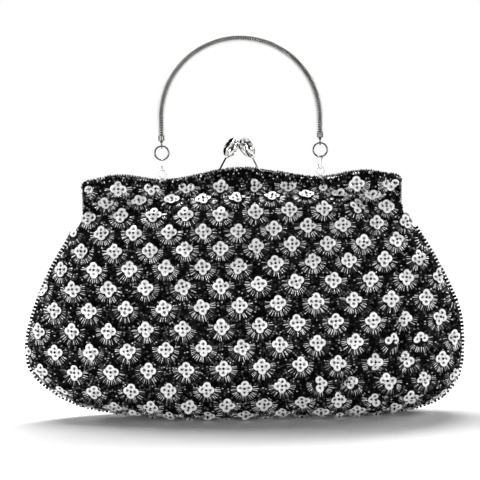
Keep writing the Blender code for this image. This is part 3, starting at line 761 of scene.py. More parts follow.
def finished(name: str, mesh: bpy.types.Mesh, finish: Finish, sharp: float) -> bpy.types.Object:
    """Makes a smooth-shaded object with its finish.

    Args:
        name: What the piece is called.
        mesh: Its mesh.
        finish: What it is made of.
        sharp: The least angle in degrees at which an edge stays sharp.

    Returns:
        The object.
    """
    mesh.shade_smooth()
    mesh.set_sharp_from_angle(angle=math.radians(sharp))
    mesh.materials.append(finish.material())
    return linked(name, mesh)


def piece(name: str, bm: bmesh.types.BMesh, finish: Finish, sharp: float = 40.0) -> bpy.types.Object:
    """An object from a bmesh, which is then freed."""
    return finished(name, as_mesh(name, bm), finish, sharp)


def stand_for(made: bpy.types.Object, nodes: Sequence[str]) -> bpy.types.Object:
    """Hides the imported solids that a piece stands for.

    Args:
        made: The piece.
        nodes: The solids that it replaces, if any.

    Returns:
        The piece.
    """
    if nodes:
        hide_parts(*nodes)
    return made


def dress_half(made: bpy.types.Object, half: Half, slot: str, *nodes: str) -> bpy.types.Object:
    """Bakes a fabric piece's transform into its mesh, and hides the imported solids that it stands for."""
    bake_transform(made)
    return stand_for(made, nodes)


def dress(made: bpy.types.Object, body: str, slot: str, *nodes: str) -> bpy.types.Object:
    """Lets a piece ride on a body, and hides the imported solids that it stands for."""
    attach(made, body)
    return stand_for(made, nodes)


# Repeated beads


@dataclass
class Places:
    """Where copies of one shape go: a point, three axes and a size for each, and a tone for its finish."""

    points: Grid
    axes: Grid
    sizes: Grid
    tones: Grid

    def chosen(self, kept: Grid) -> "Places":
        """The places that a mask or an index picks."""
        return Places(self.points[kept], self.axes[kept], self.sizes[kept], self.tones[kept])

    def turned_to(self, half: Half) -> "Places":
        """Front places carried over to a half."""
        axes = self.axes * half.mirror[None, :, None]
        return Places(self.points * half.mirror, axes, self.sizes, self.tones)

    def __add__(self, other: "Places") -> "Places":
        """The places of two groups as one."""
        names = ("points", "axes", "sizes", "tones")
        return Places(*(np.concatenate([getattr(self, name), getattr(other, name)]) for name in names))


def stamp(name: str, shape: bmesh.types.BMesh, places: Places, finish: Finish) -> list[bpy.types.Object]:
    """Repeats a small shape at many places.

    Args:
        name: What the pieces are called. A number follows it.
        shape: One copy, round the origin, which is freed.
        places: Where the copies go.
        finish: What they are made of.

    Returns:
        One or more objects, each of about MOST_TRIANGLES triangles at most.
    """
    local = np.array([vert.co for vert in shape.verts])
    corners = [[vert.index for vert in face.verts] for face in shape.faces]
    shape.free()
    totals = np.array([len(face) for face in corners])
    loops = np.concatenate([np.array(face) for face in corners])
    triangles = int((totals - 2).sum())
    batches = max(1, math.ceil(len(places.points) * triangles / MOST_TRIANGLES))
    made = []
    for batch, chosen in enumerate(np.array_split(np.arange(len(places.points)), batches)):
        part = places.chosen(chosen)
        count = len(chosen)
        scaled = local[None] * part.sizes[:, None]
        points = np.einsum("mij,mvj->mvi", part.axes, scaled) + part.points[:, None]
        mesh = bpy.data.meshes.new(f"{name}_{batch + 1}")
        mesh.vertices.add(count * len(local))
        mesh.vertices.foreach_set("co", points.astype(np.float32).ravel())
        mesh.loops.add(count * len(loops))
        offsets = np.arange(count)[:, None] * len(local)
        mesh.loops.foreach_set("vertex_index", (loops[None] + offsets).astype(np.int32).ravel())
        mesh.polygons.add(count * len(totals))
        starts = np.concatenate([[0], np.cumsum(np.tile(totals, count))[:-1]])
        mesh.polygons.foreach_set("loop_start", starts.astype(np.int32))
        reach = np.tile(np.hypot(local[:, 0], local[:, 1]), count)
        for label, values in (("tone", np.repeat(part.tones, len(local))), ("reach", reach)):
            attribute = mesh.attributes.new(label, "FLOAT", "POINT")
            attribute.data.foreach_set("value", values.astype(np.float32))
        mesh.update(calc_edges=True)
        mesh.validate()
        made.append(finished(mesh.name, mesh, finish, BEAD_CREASE))
    return made


def barrel(stations: Sequence[tuple[float, float]], sides: int) -> bmesh.types.BMesh:
    """A small closed barrel along X.

    Args:
        stations: The place along X and the radius there, from one end to the other.
        sides: Its sides.

    Returns:
        The barrel, round the origin.
    """
    cosine, sine = circle(sides)
    ring = np.stack([np.zeros(sides), cosine, sine], axis=1)
    rows = [np.array((place, 0.0, 0.0)) + ring * radius for place, radius in stations]
    return loft(np.array(rows), around=True, capped=True)


def bugle() -> bmesh.types.BMesh:
    """A unit bugle along X: a glass tube with cut ends."""
    return barrel(((-1.0, 0.62), (-0.90, 1.0), (0.90, 1.0), (1.0, 0.62)), 6)


def seed_bead() -> bmesh.types.BMesh:
    """A unit seed bead along X: a squat barrel with rounded shoulders."""
    return barrel(((-1.0, 0.45), (-0.38, 0.96), (0.38, 0.96), (1.0, 0.45)), 8)


def cup_sequin(sides: int = 12) -> bmesh.types.BMesh:
    """A unit cup sequin that opens along Z, with a pierced middle and a thin wall.

    Args:
        sides: Its sides.

    Returns:
        The sequin, round the origin.
    """
    cosine, sine = circle(sides)
    rows = [np.stack([reach * cosine, reach * sine, np.full(sides, rise)], 1) for reach, rise in CUP_PROFILE]
    return loft(np.array(rows), around=True, along=True)


# The skin of the bag


@dataclass(frozen=True)
class BowLine:
    """The wavy top line of a bow: a crown, a dip at each eyelet, a shoulder and a rounded corner."""

    half_width: float = FRAME_HALF_WIDTH
    crown: float = FRAME_CROWN_HEIGHT
    dip: float = EYELET_DIP
    shoulder: float = FRAME_CROWN_HEIGHT - 0.0032
    corner: float = FRAME_CROWN_HEIGHT - 0.0063
    dip_x: float = EYELET_X
    shoulder_x: float = 0.0780
    corner_radius: float = 0.004
    least_turn: float = 0.0003
    top_steps: int = 72
    corner_steps: int = 8
    arm_steps: int = 6

    def top(self, x: Grid) -> Grid:
        """The height of the top edge before its corner is rounded.

        Args:
            x: Places across.

        Returns:
            The height at each.
        """
        reach = np.abs(np.asarray(x, float))

        def wave(start: float, end: float, low: float, high: float) -> Grid:
            """A half cosine from low to high."""
            return low + (high - low) * (1 - np.cos(math.pi * (reach - start) / (end - start))) / 2

        inner = wave(0.0, self.dip_x, self.crown, self.dip)
        middle = wave(self.dip_x, self.shoulder_x, self.dip, self.shoulder)
        outer = wave(self.shoulder_x, self.half_width, self.shoulder, self.corner)
        return np.select([reach < self.dip_x, reach < self.shoulder_x], [inner, middle], outer)

    def edge(self, x: Grid, inset: float) -> Grid:
        """The height of a line inside the top edge, with the corner rounded.

        Args:
            x: Places across.
            inset: How far inside the edge the line runs.

        Returns:
            The height at each place.
        """
        turn = max(self.corner_radius, inset)
        centre = self.half_width - turn
        reach = np.clip(np.abs(x) - centre, 0.0, turn - inset)
        drop = turn - np.sqrt(np.maximum((turn - inset) ** 2 - reach ** 2, 0.0))
        return np.where(np.abs(x) <= centre, self.top(x) - inset, self.top(np.full_like(x, centre)) - drop)

    def path(self, inset: float, end_height: float) -> Grid:
        """The whole bow's line.

        Args:
            inset: How far inside the outer edge it runs.
            end_height: Where the arms end.

        Returns:
            Points as (x, z), from the left arm's end to the right one's.
        """
        turn = max(self.corner_radius, inset + self.least_turn)
        centre_x = self.half_width - turn
        centre_z = float(self.top(np.array(centre_x))) - turn
        x = np.linspace(0.0, centre_x, self.top_steps + 1)
        top = np.stack([x, self.top(x) - inset], axis=1)
        angle = np.linspace(math.pi / 2, 0.0, self.corner_steps + 1)[1:]
        bend = turn - inset
        corner = np.stack([centre_x + bend * np.cos(angle), centre_z + bend * np.sin(angle)], axis=1)
        z = np.linspace(centre_z, end_height, self.arm_steps + 1)[1:]
        arm = np.stack([np.full(self.arm_steps, self.half_width - inset), z], axis=1)
        right = np.concatenate([top, corner, arm])
        left = right[1:][::-1] * np.array((-1.0, 1.0))
        return np.concatenate([left, right])


@dataclass(frozen=True)
class Fold:
    """A crease pressed into the skin along a line seen from the front, with a soft ridge above it."""

    start: tuple[float, float]
    end: tuple[float, float]
    width: float
    depth: float
    ridge_share: float = 0.55
    ridge_away: float = 1.9
    end_share: float = 0.04

    def push(self, x: Grid, z: Grid) -> Grid:
        """How far inward the skin goes.

        Args:
            x: Places across.
            z: Their heights.

        Returns:
            The push at each, negative on the ridge.
        """
        start, end = np.array(self.start), np.array(self.end)
        along = end - start
        length = np.linalg.norm(along)
        offset = np.stack([x - start[0], z - start[1]], axis=-1)
        share = np.clip(offset @ along / length ** 2, 0.0, 1.0)
        away = np.linalg.norm(offset - share[..., None] * along, axis=-1)
        side = (offset[..., 0] * along[1] - offset[..., 1] * along[0]) / length
        groove = np.exp(-(away / self.width) ** 2)
        bank = np.exp(-((away - self.ridge_away * self.width) / self.width) ** 2)
        ridge = self.ridge_share * bank * ease(-side / self.width + 0.5)
        fade = np.sin(math.pi * np.clip(share, self.end_share, 1 - self.end_share)) ** 0.5
        return self.depth * (groove - ridge) * fade


@dataclass
class Skin:
    """One half's beaded face: rows from the bottom seam up to the frame, seen as one smooth surface.

    Each row gives the middle's depth and height, then the seam's place at the left and right as
    (across, height), then how deep the row still is at its ends. The last two are how much less deep
    and how much lower the row runs beside the ledge that the full middle makes under the frame.
    """

    half: Half
    line: BowLine = field(default_factory=BowLine)
    bed: float = 0.0010
    seam_depth: float = 0.0007
    neck_depth: float = 0.0075
    rows: tuple = (
        (0.0008, 0.0022, (0.0780, 0.0040), (0.0890, 0.0018), 0.0007, 0.0, 0.0),
        (0.0072, 0.0010, (0.0935, 0.0062), (0.1005, 0.0024), 0.0007, 0.0, 0.0),
        (0.0132, 0.0014, (0.1075, 0.0100), (0.1142, 0.0052), 0.0007, 0.0, 0.0),
        (0.0196, 0.0044, (0.1197, 0.0162), (0.1255, 0.0105), 0.0007, 0.0, 0.0),
        (0.0248, 0.0116, (0.1316, 0.0256), (0.1340, 0.0205), 0.0007, 0.0, 0.0),
        (0.0285, 0.0235, (0.1380, 0.0358), (0.1378, 0.0325), 0.0007, 0.0, 0.0),
        (0.0300, 0.0410, (0.1388, 0.0511), (0.1386, 0.0491), 0.0007, 0.0, 0.0),
        (0.0296, 0.0604, (0.1353, 0.0658), (0.1366, 0.0658), 0.0007, 0.0, 0.0),
        (0.0286, 0.0804, (0.1290, 0.0818), (0.1303, 0.0818), 0.0007, 0.0, 0.0),
        (0.0274, 0.1010, (0.1222, 0.0965), (0.1230, 0.0965), 0.0007, 0.0, 0.0),
        (0.0264, 0.1185, (0.1153, 0.1080), (0.1166, 0.1080), 0.0009, 0.0010, 0.0010),
        (0.0250, 0.1305, (0.1112, 0.1145), (0.1124, 0.1145), 0.0014, 0.0026, 0.0030),
        (0.0222, 0.1385, (0.1084, 0.1195), (0.1096, 0.1195), 0.0022, 0.0036, 0.0046),
        (0.0168, 0.1424, (0.1056, 0.1236), (0.1068, 0.1236), 0.0035, 0.0030, 0.0034),
        (0.0110, 0.1447, (0.1021, 0.1285), (0.1030, 0.1285), 0.0052, 0.0010, 0.0012),
        (0.0080, 0.1482, (0.1005, 0.1340), (0.1005, 0.1340), 0.0068, 0.0, 0.0),
        (0.0075, 0.1515, (0.1001, 0.1425), (0.1001, 0.1425), 0.0075, 0.0, 0.0),
    )
    ledge_start: float = -0.46
    ledge_end: float = 0.86
    ledge_fade: float = 0.22
    first_high_row: int = 9
    left_lift_start: float = 0.22
    right_lift_start: float = 0.58
    bulge_fullness: float = 2.4
    bulge_roundness: float = 0.62
    row_steps: int = 8
    columns_a_side: int = 84
    seam_crowding: float = 1.38
    folds: tuple[Fold, ...] = ()
    sag: float = 0.0009
    sag_width: float = 0.045
    ripple_share: float = 0.4
    ripple_finer: float = 2.6
    held_rise: float = 0.012
    held_fade: float = 0.006
    seam_fade: float = 0.012
    noise_seed: float = 0.0

    def across(self) -> Grid:
        """Shares from the left seam to the right one, closer together towards the seams."""
        share = np.linspace(-1.0, 1.0, 2 * self.columns_a_side + 1)
        return np.sin(self.seam_crowding * share) / math.sin(self.seam_crowding)

    def row_points(self, across: Grid, index: int) -> Grid:
        """One named row on the front half.

        Args:
            across: Shares from the left seam at -1 to the right one at 1.
            index: Which row.

        Returns:
            A point for each share.
        """
        depth, height, left, right, edge, shallower, lower = self.rows[index]
        ledge = ease((across - self.ledge_start) / self.ledge_fade)
        ledge = ledge * ease((self.ledge_end - across) / self.ledge_fade)
        depth, height = depth - shallower * (1 - ledge), height - lower * (1 - ledge)
        reach = np.abs(across)
        seam_x = np.where(across < 0, left[0], right[0])
        seam_z = np.where(across < 0, left[1], right[1])
        start = np.where(across < 0, self.left_lift_start, self.right_lift_start)
        late = (np.maximum(reach - start, 0.0) / (1 - start)) ** 2
        lift = reach ** 3 if index >= self.first_high_row else late
        bulge = np.maximum(1 - reach ** self.bulge_fullness, 0.0) ** self.bulge_roundness
        depth = edge + (depth - edge) * bulge
        return np.stack([across * seam_x, -depth, height + (seam_z - height) * lift], axis=1)

    def top_row(self, across: Grid) -> Grid:
        """The row that follows the bow's top line and stands a little above it.

        Args:
            across: Shares from the left seam at -1 to the right one at 1.

        Returns:
            A point for each share.
        """
        x = across * (self.line.half_width - FRAME_REVEAL)
        z = self.line.edge(x, FRAME_REVEAL) + FRAME_REVEAL + EDGE_RISE
        return np.stack([x, np.full_like(x, -self.neck_depth + HALF_GAP), z], axis=1)

    @cached_property
    def surface(self) -> Grid:
        """The finished surface of this half as if it were the front one.

        Returns:
            Rows of points from the frame down to the seam.
        """
        across = self.across()
        named = [self.row_points(across, index) for index in range(len(self.rows))]
        named.append(self.top_row(across))
        points = smooth_rows(np.array(named), self.row_steps)[::-1]
        points = points - self.normals(points) * (self.bed + self.sagging(points))[..., None]
        points[..., 1] = np.minimum(points[..., 1], -self.seam_depth)
        return points

    def sagging(self, points: Grid) -> Grid:
        """How far the cloth lies inside its smooth form: slow waves, and the pressed folds.

        Args:
            points: The smooth form.

        Returns:
            The distance inward at each point.
        """
        seed = Vector((self.noise_seed, self.noise_seed, self.noise_seed))
        flat = points.reshape(-1, 3)
        slow = np.array([noise.noise(Vector(place) / self.sag_width + seed) for place in flat])
        ripple_width = self.sag_width / self.ripple_finer
        quick = np.array([noise.noise(Vector(place) / ripple_width + seed) for place in flat])
        waves = (slow * self.sag + quick * self.sag * self.ripple_share).reshape(points.shape[:2])
        free = 1 - ease((points[..., 2] - HINGE_HEIGHT - self.held_rise) / self.held_fade)
        seam = ease(-points[..., 1] / self.seam_fade)
        push = waves * free * seam
        for fold in self.folds:
            push = push + fold.push(points[..., 0], points[..., 2]) * seam * free
        return push

    @staticmethod
    def normals(points: Grid) -> Grid:
        """Outward normals of a front grid whose rows run down and columns run right."""
        return -unit(np.cross(np.gradient(points, axis=1), np.gradient(points, axis=0)))

    def inward(self, depth: float, step: int = 1) -> Grid:
        """The surface moved inward.

        Args:
            depth: How far.
            step: Which share of the rows and columns is kept: all at 1, every second one at 2.

        Returns:
            Rows of points.
        """
        points = self.surface[::step, ::step]
        return points - self.normals(points) * depth


class ClothMap:
    """Places on the cloth by how far across and down they are along the surface.

    Lines of equal distance down are level, as the beadwork's rows are, and run on round the base.
    """

    def __init__(self, points: Grid, step: float = 0.0005, turn_height: float = 0.012) -> None:
        """Measures a front surface.

        Args:
            points: Its rows, from the frame down.
            step: How fine the map is.
            turn_height: Where the lines leave the level and follow the cloth round the base.
        """
        rows, columns = points.shape[:2]
        middle = columns // 2
        gaps = np.linalg.norm(np.diff(points, axis=0), axis=2)
        down = np.concatenate([np.zeros((1, columns)), np.cumsum(gaps, axis=0)])
        height = points[:, middle, 2]
        last = int(np.argmax(height < turn_height))
        level = np.empty((rows, columns))
        for column in range(columns):
            z = points[:, column, 2]
            by_height = np.interp(-z, -height[:last + 1], down[:last + 1, middle])
            low = z < turn_height
            if low.any():
                first = int(np.argmax(low))
                before = max(first - 1, 0)
                by_height[first:] = by_height[before] + down[first:, column] - down[before, column]
            level[:, column] = np.maximum.accumulate(by_height)
        level += np.arange(rows)[:, None] * WELD
        self.points, self.down, self.level, self.step = points, down, level, step
        self.levels = np.arange(0.0, level.max(), step)
        found = [np.interp(self.levels, level[:, column], np.arange(rows)) for column in range(columns)]
        places = np.array(found).T
        whole = np.clip(places.astype(int), 0, rows - 2)
        share = (places - whole)[..., None]
        index = np.arange(columns)[None, :]
        lines = points[whole, index] * (1 - share) + points[whole + 1, index] * share
        run = np.cumsum(np.linalg.norm(np.diff(lines, axis=1), axis=2), axis=1)
        length = np.concatenate([np.zeros((len(self.levels), 1)), run], axis=1)
        length -= length[:, middle:middle + 1]
        self.lengths = length
        self.reach = math.ceil(np.abs(length).max() / step) + 2
        self.across = np.arange(-self.reach, self.reach + 1) * step
        from_top = self.levels[:, None] - level[0][None]
        from_seam = level[-1][None] - self.levels[:, None]
        fields = np.concatenate([lines, from_top[..., None], from_seam[..., None]], axis=2)
        self.fields = np.empty((len(self.levels), len(self.across), 6))
        for row in range(len(self.levels)):
            for item in range(5):
                self.fields[row, :, item] = np.interp(self.across, length[row], fields[row, :, item])
            self.fields[row, :, 5] = np.minimum(length[row, -1] - self.across, self.across - length[row, 0])
        self.right = unit(np.gradient(self.fields[..., :3], axis=1))
        self.below = unit(np.gradient(self.fields[..., :3], axis=0))

    def read(self, table: Grid, across: Grid, down: Grid) -> Grid:
        """Values of a table at places on the cloth.

        Args:
            table: What is read, as (down, across, value).
            across: How far right of the middle each place lies.
            down: How far below the top edge.

        Returns:
            The values, mixed from the four nearest entries.
        """
        x = np.clip(across / self.step + self.reach, 0, len(self.across) - 1.001)
        y = np.clip(down / self.step, 0, len(self.levels) - 1.001)
        column, row = x.astype(int), y.astype(int)
        u, v = (x - column)[:, None], (y - row)[:, None]
        top = table[row, column] * (1 - u) + table[row, column + 1] * u
        low = table[row + 1, column] * (1 - u) + table[row + 1, column + 1] * u
        return top * (1 - v) + low * v

    def margins(self, across: Grid, down: Grid) -> tuple[Grid, Grid, Grid, Grid]:
        """How far places lie from the frame's edge, the seam and the nearer side, and their heights."""
        found = self.read(self.fields, across, down)
        return found[:, 3], found[:, 4], found[:, 5], found[:, 2]

    def frames(self, across: Grid, down: Grid) -> tuple[Grid, Grid, Grid, Grid]:
        """How the cloth lies at places on it.

        Args:
            across: How far right of the middle each place lies.
            down: How far below the top edge.

        Returns:
            Points, right-hand and downward directions, and outward normals.
        """
        points = self.read(self.fields, across, down)[:, :3]
        right = unit(self.read(self.right, across, down))
        below = self.read(self.below, across, down)
        normal = -unit(np.cross(right, below))
        return points, right, unit(np.cross(right, normal)), normal

    def edge_place(self, column: Grid, below_edge: float) -> tuple[Grid, Grid]:
        """Places a little below the frame's edge.

        Args:
            column: Where along the edge, as fractions of the surface's columns.
            below_edge: How far below the edge.

        Returns:
            How far across and down each lies.
        """
        columns = np.arange(self.points.shape[1])
        down = np.array([np.interp(below_edge, self.down[:, item], self.level[:, item]) for item in columns])
        place = np.interp(column, columns, down)
        row = np.clip(place / self.step, 0, len(self.levels) - 1).astype(int)
        return np.array([np.interp(c, columns, self.lengths[r]) for c, r in zip(column, row)]), place


@dataclass
class Beadwork:
    """The beads of one half: bordering rows, sequin flowers, fans of bugles and the seed ground."""

    skin: Skin
    pitch: float = 0.0215
    pitch_stretch: float = 0.105
    row_pitch: float = 0.0103
    row_stretch: float = 0.27
    first_row: float = 0.0106
    ledge_gap: float = 0.0022
    stretch_start: float = 0.030
    stretch_length: float = 0.060
    tuck: float = 0.45
    tuck_start: float = 0.134
    tuck_length: float = 0.030
    middle: float = -0.0027
    droop: float = 0.0013
    droop_middle: float = 0.035
    droop_reach: float = 0.100
    left_drop: float = 0.0016
    left_drop_start: float = -0.010
    left_drop_length: float = 0.050
    drift: float = 0.0022
    drift_start: float = 0.095
    drift_length: float = 0.070
    rows: int = 17
    flower_turn: float = 0.10
    flower_stray: float = 0.00018
    gathered_squash: float = 0.18
    gathered_lean: float = 0.50
    gathered_lift: float = 0.0008
    sequin_radius: float = 0.00254
    sequin_depth: float = 0.00050
    sequin_offset: float = 0.00262
    sequin_lift: float = 0.0009
    sequin_lap: float = 0.00035
    sequin_inset: float = 0.0006
    sequin_tilt: float = 0.13
    lost_sequins: float = 0.012
    fan_inner: float = 0.0053
    fan_length: float = 0.0037
    fan_half_angle: float = math.radians(100.0)
    fan_count: int = 21
    fan_stray: float = 0.00018
    bugle_radius: float = 0.00032
    bugle_margin: float = 0.0017
    bugle_inset: float = 0.0004
    bugle_lift: tuple[float, float] = (0.00055, 0.00025)
    bugle_tilt: float = 0.07
    lost_bugles: float = 0.02
    seed_radius: float = 0.00088
    seed_half_length: float = 0.00062
    seed_spacing: float = 0.00158
    seed_row_loosening: float = 1.04
    seed_lift: tuple[float, float] = (0.00045, 0.0003)
    seed_tilt: float = 0.12
    arcs: tuple = ((0.0013, 1.95), (0.0030, 1.45), (0.0047, 0.95), (0.0064, 0.62))
    arc_loosening: float = 1.03
    net_share: float = 0.62
    crowding: float = 0.93
    motif_reach: float = 0.011
    fan_clearance: tuple[float, float] = (0.0008, 0.0004)
    fan_side_clearance: float = 0.06
    hole_pin: Colour = (0.00036, 0.00045, 0.00045)
    hole_pin_rise: float = 0.00042
    middle_pin: Colour = (0.00070, 0.00082, 0.00082)
    middle_pin_lift: float = 0.0019
    pin_tilt: float = 0.1
    pin_tone: float = 0.5
    border_rows: int = 3
    border_pitch: float = 0.00172
    border_first: float = 0.0005
    border_end: float = 0.0008
    border_stray: float = 0.00008
    rim_inward: float = 0.0007
    rim_up: float = 0.0003
    rim_stray: float = 0.00007
    rim_gap: tuple[float, float] = (0.0095, 0.0225)
    arm_columns: int = 2
    arm_start: float = 0.006
    arm_end: float = 0.032
    arm_foot: float = 0.002
    edge_margin: float = 0.0009
    seed: int = 7

    def __post_init__(self) -> None:
        """Measures the cloth and starts the random draws."""
        self.map = ClothMap(self.skin.surface)
        self.draw = np.random.default_rng(self.seed + self.skin.half.value)
        self.border = self.border_first + self.border_pitch * (self.border_rows - 0.4)
        self.flowers = self.flower_places()
        self.gathered = (1 - self.flowers[:, 3]) / self.gathered_squash

    def around_one(self, spread: float, shape: "int | tuple[int, int]") -> Grid:
        """Random factors near 1."""
        return 1 + self.draw.normal(0.0, spread, shape)

    def slack(self, down: float) -> float:
        """How far the gathered beadwork has opened at a distance down, from 0 to 1."""
        return ease((down - self.stretch_start) / self.stretch_length)

    def flower_places(self) -> Grid:
        """Lays the flowers out in rows that hang a little, widen below the gathers and close up at the base.

        Returns:
            How far across and down each flower lies, its turn, and its height as a share of the full one.
        """
        found = []
        down = self.first_row
        for row in range(self.rows):
            slack = self.slack(down)
            pitch = self.pitch * (1 + self.pitch_stretch * slack)
            count = math.ceil(self.map.across[-1] / pitch) + 1
            drift = self.drift * ease((down - self.drift_start) / self.drift_length)
            share = 1 - self.gathered_squash * (1 - slack) if row else 1.0
            for column in range(-count, count + 1):
                across = self.middle + drift + (column + (0.5 if row % 2 == 0 else 0.0)) * pitch
                hang = self.droop * ((across - self.droop_middle) / self.droop_reach) ** 2
                hang += self.left_drop * (1 - ease((across - self.left_drop_start) / self.left_drop_length))
                turn = self.draw.normal(0.0, self.flower_turn)
                found.append((across, down + hang if row else down, turn, share))
            tucked = self.tuck * ease((down - self.tuck_start) / self.tuck_length)
            down += self.row_pitch * (1 + self.row_stretch * slack) * (1 - tucked)
            down += 0.0 if row else self.ledge_gap
        places = np.array(found)
        places[:, :2] += self.draw.normal(0.0, self.flower_stray, (len(places), 2))
        return places[(np.abs(places[:, 0]) < self.map.across[-1]) & (places[:, 1] < self.map.levels[-1])]

    def inside(self, across: Grid, down: Grid, margin: float, border: float) -> Grid:
        """Whether places lie on the cloth, clear of its seams and of the bordering rows.

        Args:
            across: How far right of the middle each place lies.
            down: How far below the top edge.
            margin: The least distance from a seam.
            border: The least distance from the frame's edge.

        Returns:
            A mask.
        """
        top, bottom, side, height = self.map.margins(across, down)
        arm = np.where(height > HINGE_HEIGHT + 0.004, border - self.border_pitch, margin)
        return (top > border) & (bottom > margin) & (side > arm)

    def places(self, across: Grid, down: Grid, angle: Grid, lift: Grid, sizes: Grid, tilt: float,
               lean: "Grid | float" = 0.0) -> Places:
        """Bead places on the cloth.

        Args:
            across: How far right of the middle each lies.
            down: How far below the top edge.
            angle: The turn of its long axis on the cloth.
            lift: How far it stands off the cloth.
            sizes: Its size along each of its axes.
            tilt: How far its normal strays at random.
            lean: How far above level its normal points at least.

        Returns:
            The places on this half, none of them reaching below the floor.
        """
        points, right, below, normal = self.map.frames(across, down)
        count = len(across)
        along = right * np.cos(angle)[:, None] + below * np.sin(angle)[:, None]
        tip = np.maximum(lean - np.arcsin(np.clip(normal[:, 2], -1.0, 1.0)), 0.0) * (np.asarray(lean) > 0)
        points = points + normal * lift[:, None]
        normal = unit(normal - below * np.tan(tip)[:, None] + self.draw.normal(0.0, tilt, (count, 3)))
        along = unit(along - normal * (along * normal).sum(1, keepdims=True))
        axes = np.stack([along, np.cross(normal, along), normal], axis=2)
        points[:, 2] += np.maximum(np.linalg.norm(axes[:, 2] * sizes, axis=1) - points[:, 2], 0.0)
        return Places(points, axes, sizes, self.draw.random(count)).turned_to(self.skin.half)

    def build(self) -> list[bpy.types.Object]:
        """Makes every bead of this half.

        Returns:
            The pieces.
        """
        label = self.skin.half.label
        made = stamp(f"{label}_sequins", self.mirrored(cup_sequin()), self.sequins(), FOIL)
        made += stamp(f"{label}_bugle_beads", self.mirrored(bugle()), self.bugles(), STEEL_GLASS)
        seeds = self.ground_seeds() + self.rim_seeds()
        made += stamp(f"{label}_seed_beads", self.mirrored(seed_bead()), seeds, JET)
        for item in made:
            dress_half(item, self.skin.half, "beaded_fabric" if "sequins" in item.name else "black_beads")
        return made

    def mirrored(self, shape: bmesh.types.BMesh) -> bmesh.types.BMesh:
        """Turns the faces of a shape that the rear half's axes will turn inside out.

        Args:
            shape: The unit bead.

        Returns:
            The same bead.
        """
        if self.skin.half is Half.REAR:
            bmesh.ops.reverse_faces(shape, faces=shape.faces)
        return shape

    def sequins(self) -> Places:
        """Four cup sequins to a flower, one up, one down and one to each side.

        Returns:
            Their places.
        """
        count = len(self.flowers)
        parts = []
        for quarter in range(4):
            turn = self.flowers[:, 2] + quarter * math.pi / 2 + self.draw.normal(0.0, 0.06, count)
            offset = self.sequin_offset * self.around_one(0.05, count)
            parts.append(np.stack([
                self.flowers[:, 0] + offset * np.cos(turn),
                self.flowers[:, 1] + offset * np.sin(turn) * self.flowers[:, 3],
                self.sequin_lift + self.sequin_lap * (quarter % 2) + self.gathered_lift * self.gathered,
                self.gathered_lean * self.gathered,
            ], axis=1))
        spots = np.concatenate(parts)
        border = self.border - self.sequin_inset
        kept = self.inside(spots[:, 0], spots[:, 1], self.sequin_radius * 0.5, border)
        spots = spots[kept & (self.draw.random(len(spots)) > self.lost_sequins)]
        self.sequin_spots = spots
        size = np.array((self.sequin_radius, self.sequin_radius, self.sequin_depth))
        sizes = size[None] * self.around_one(0.03, (len(spots), 1))
        angle = self.draw.random(len(spots)) * math.pi
        return self.places(spots[:, 0], spots[:, 1], angle, spots[:, 2], sizes, self.sequin_tilt, spots[:, 3])

    def bugles(self) -> Places:
        """A fan of bugles round the lower side of each flower.

        Returns:
            Their places.
        """
        count = len(self.flowers)
        parts = []
        for index in range(self.fan_count):
            share = 2 * index / (self.fan_count - 1) - 1
            turn = math.pi / 2 + share * self.fan_half_angle + self.flowers[:, 2] * 0.5
            turn = turn + self.draw.normal(0.0, 0.028, count)
            length = self.fan_length * (1 - 0.12 * abs(share) + self.draw.normal(0.0, 0.05, count))
            centre = self.fan_inner + length / 2 + self.draw.normal(0.0, self.fan_stray, count)
            way = np.stack([np.cos(turn), np.sin(turn) * self.flowers[:, 3]], axis=1)
            parts.append(np.stack([
                self.flowers[:, 0] + centre * way[:, 0],
                self.flowers[:, 1] + centre * way[:, 1],
                np.arctan2(way[:, 1], way[:, 0]) + self.draw.normal(0.0, 0.05, count),
                length / 2 * np.linalg.norm(way, axis=1),
            ], axis=1))
        spots = np.concatenate(parts)
        kept = self.inside(spots[:, 0], spots[:, 1], self.bugle_margin, self.border + self.bugle_inset)
        spots = spots[kept & (self.draw.random(len(spots)) > self.lost_bugles)]
        radius = self.bugle_radius * self.around_one(0.05, len(spots))
        sizes = np.stack([spots[:, 3], radius, radius], axis=1)
        lift = self.bugle_lift[0] + self.draw.random(len(spots)) * self.bugle_lift[1]
        return self.places(spots[:, 0], spots[:, 1], spots[:, 2], lift, sizes, self.bugle_tilt)

    def border_spots(self) -> Grid:
        """Seed beads in rows along the frame's top edge and down its arms.

        Returns:
            How far across and down each lies, and its turn.
        """
        edge = self.map.points[0]
        length = run_lengths(edge)
        spacing = self.seed_spacing * self.seed_row_loosening
        found = []
        for row in range(self.border_rows):
            below = self.border_first + row * self.border_pitch
            start = self.border_end + (row % 2) * self.seed_spacing / 2
            spots = np.arange(start, length[-1] - self.border_end, spacing)
            across, down = self.map.edge_place(np.interp(spots, length, np.arange(len(edge))), below)
            found.append(np.stack([across, down, np.zeros(len(spots))], axis=1))
        for hand in Hand:
            for row in range(self.arm_columns):
                inset = self.border_first + row * self.border_pitch
                down = np.arange(self.border + self.arm_start, self.arm_end, spacing)
                index = np.clip(down / self.map.step, 0, len(self.map.levels) - 1).astype(int)
                end = self.map.lengths[index, 0 if hand is Hand.LEFT else -1]
                spots = np.stack([end - hand.value * inset, down, np.full(len(down), math.pi / 2)], axis=1)
                top, _, _, height = self.map.margins(spots[:, 0], spots[:, 1])
                found.append(spots[(height > HINGE_HEIGHT + self.arm_foot) & (top > self.border)])
        spots = np.concatenate(found)
        spots[:, :2] += self.draw.normal(0.0, self.border_stray, (len(spots), 2))
        return spots

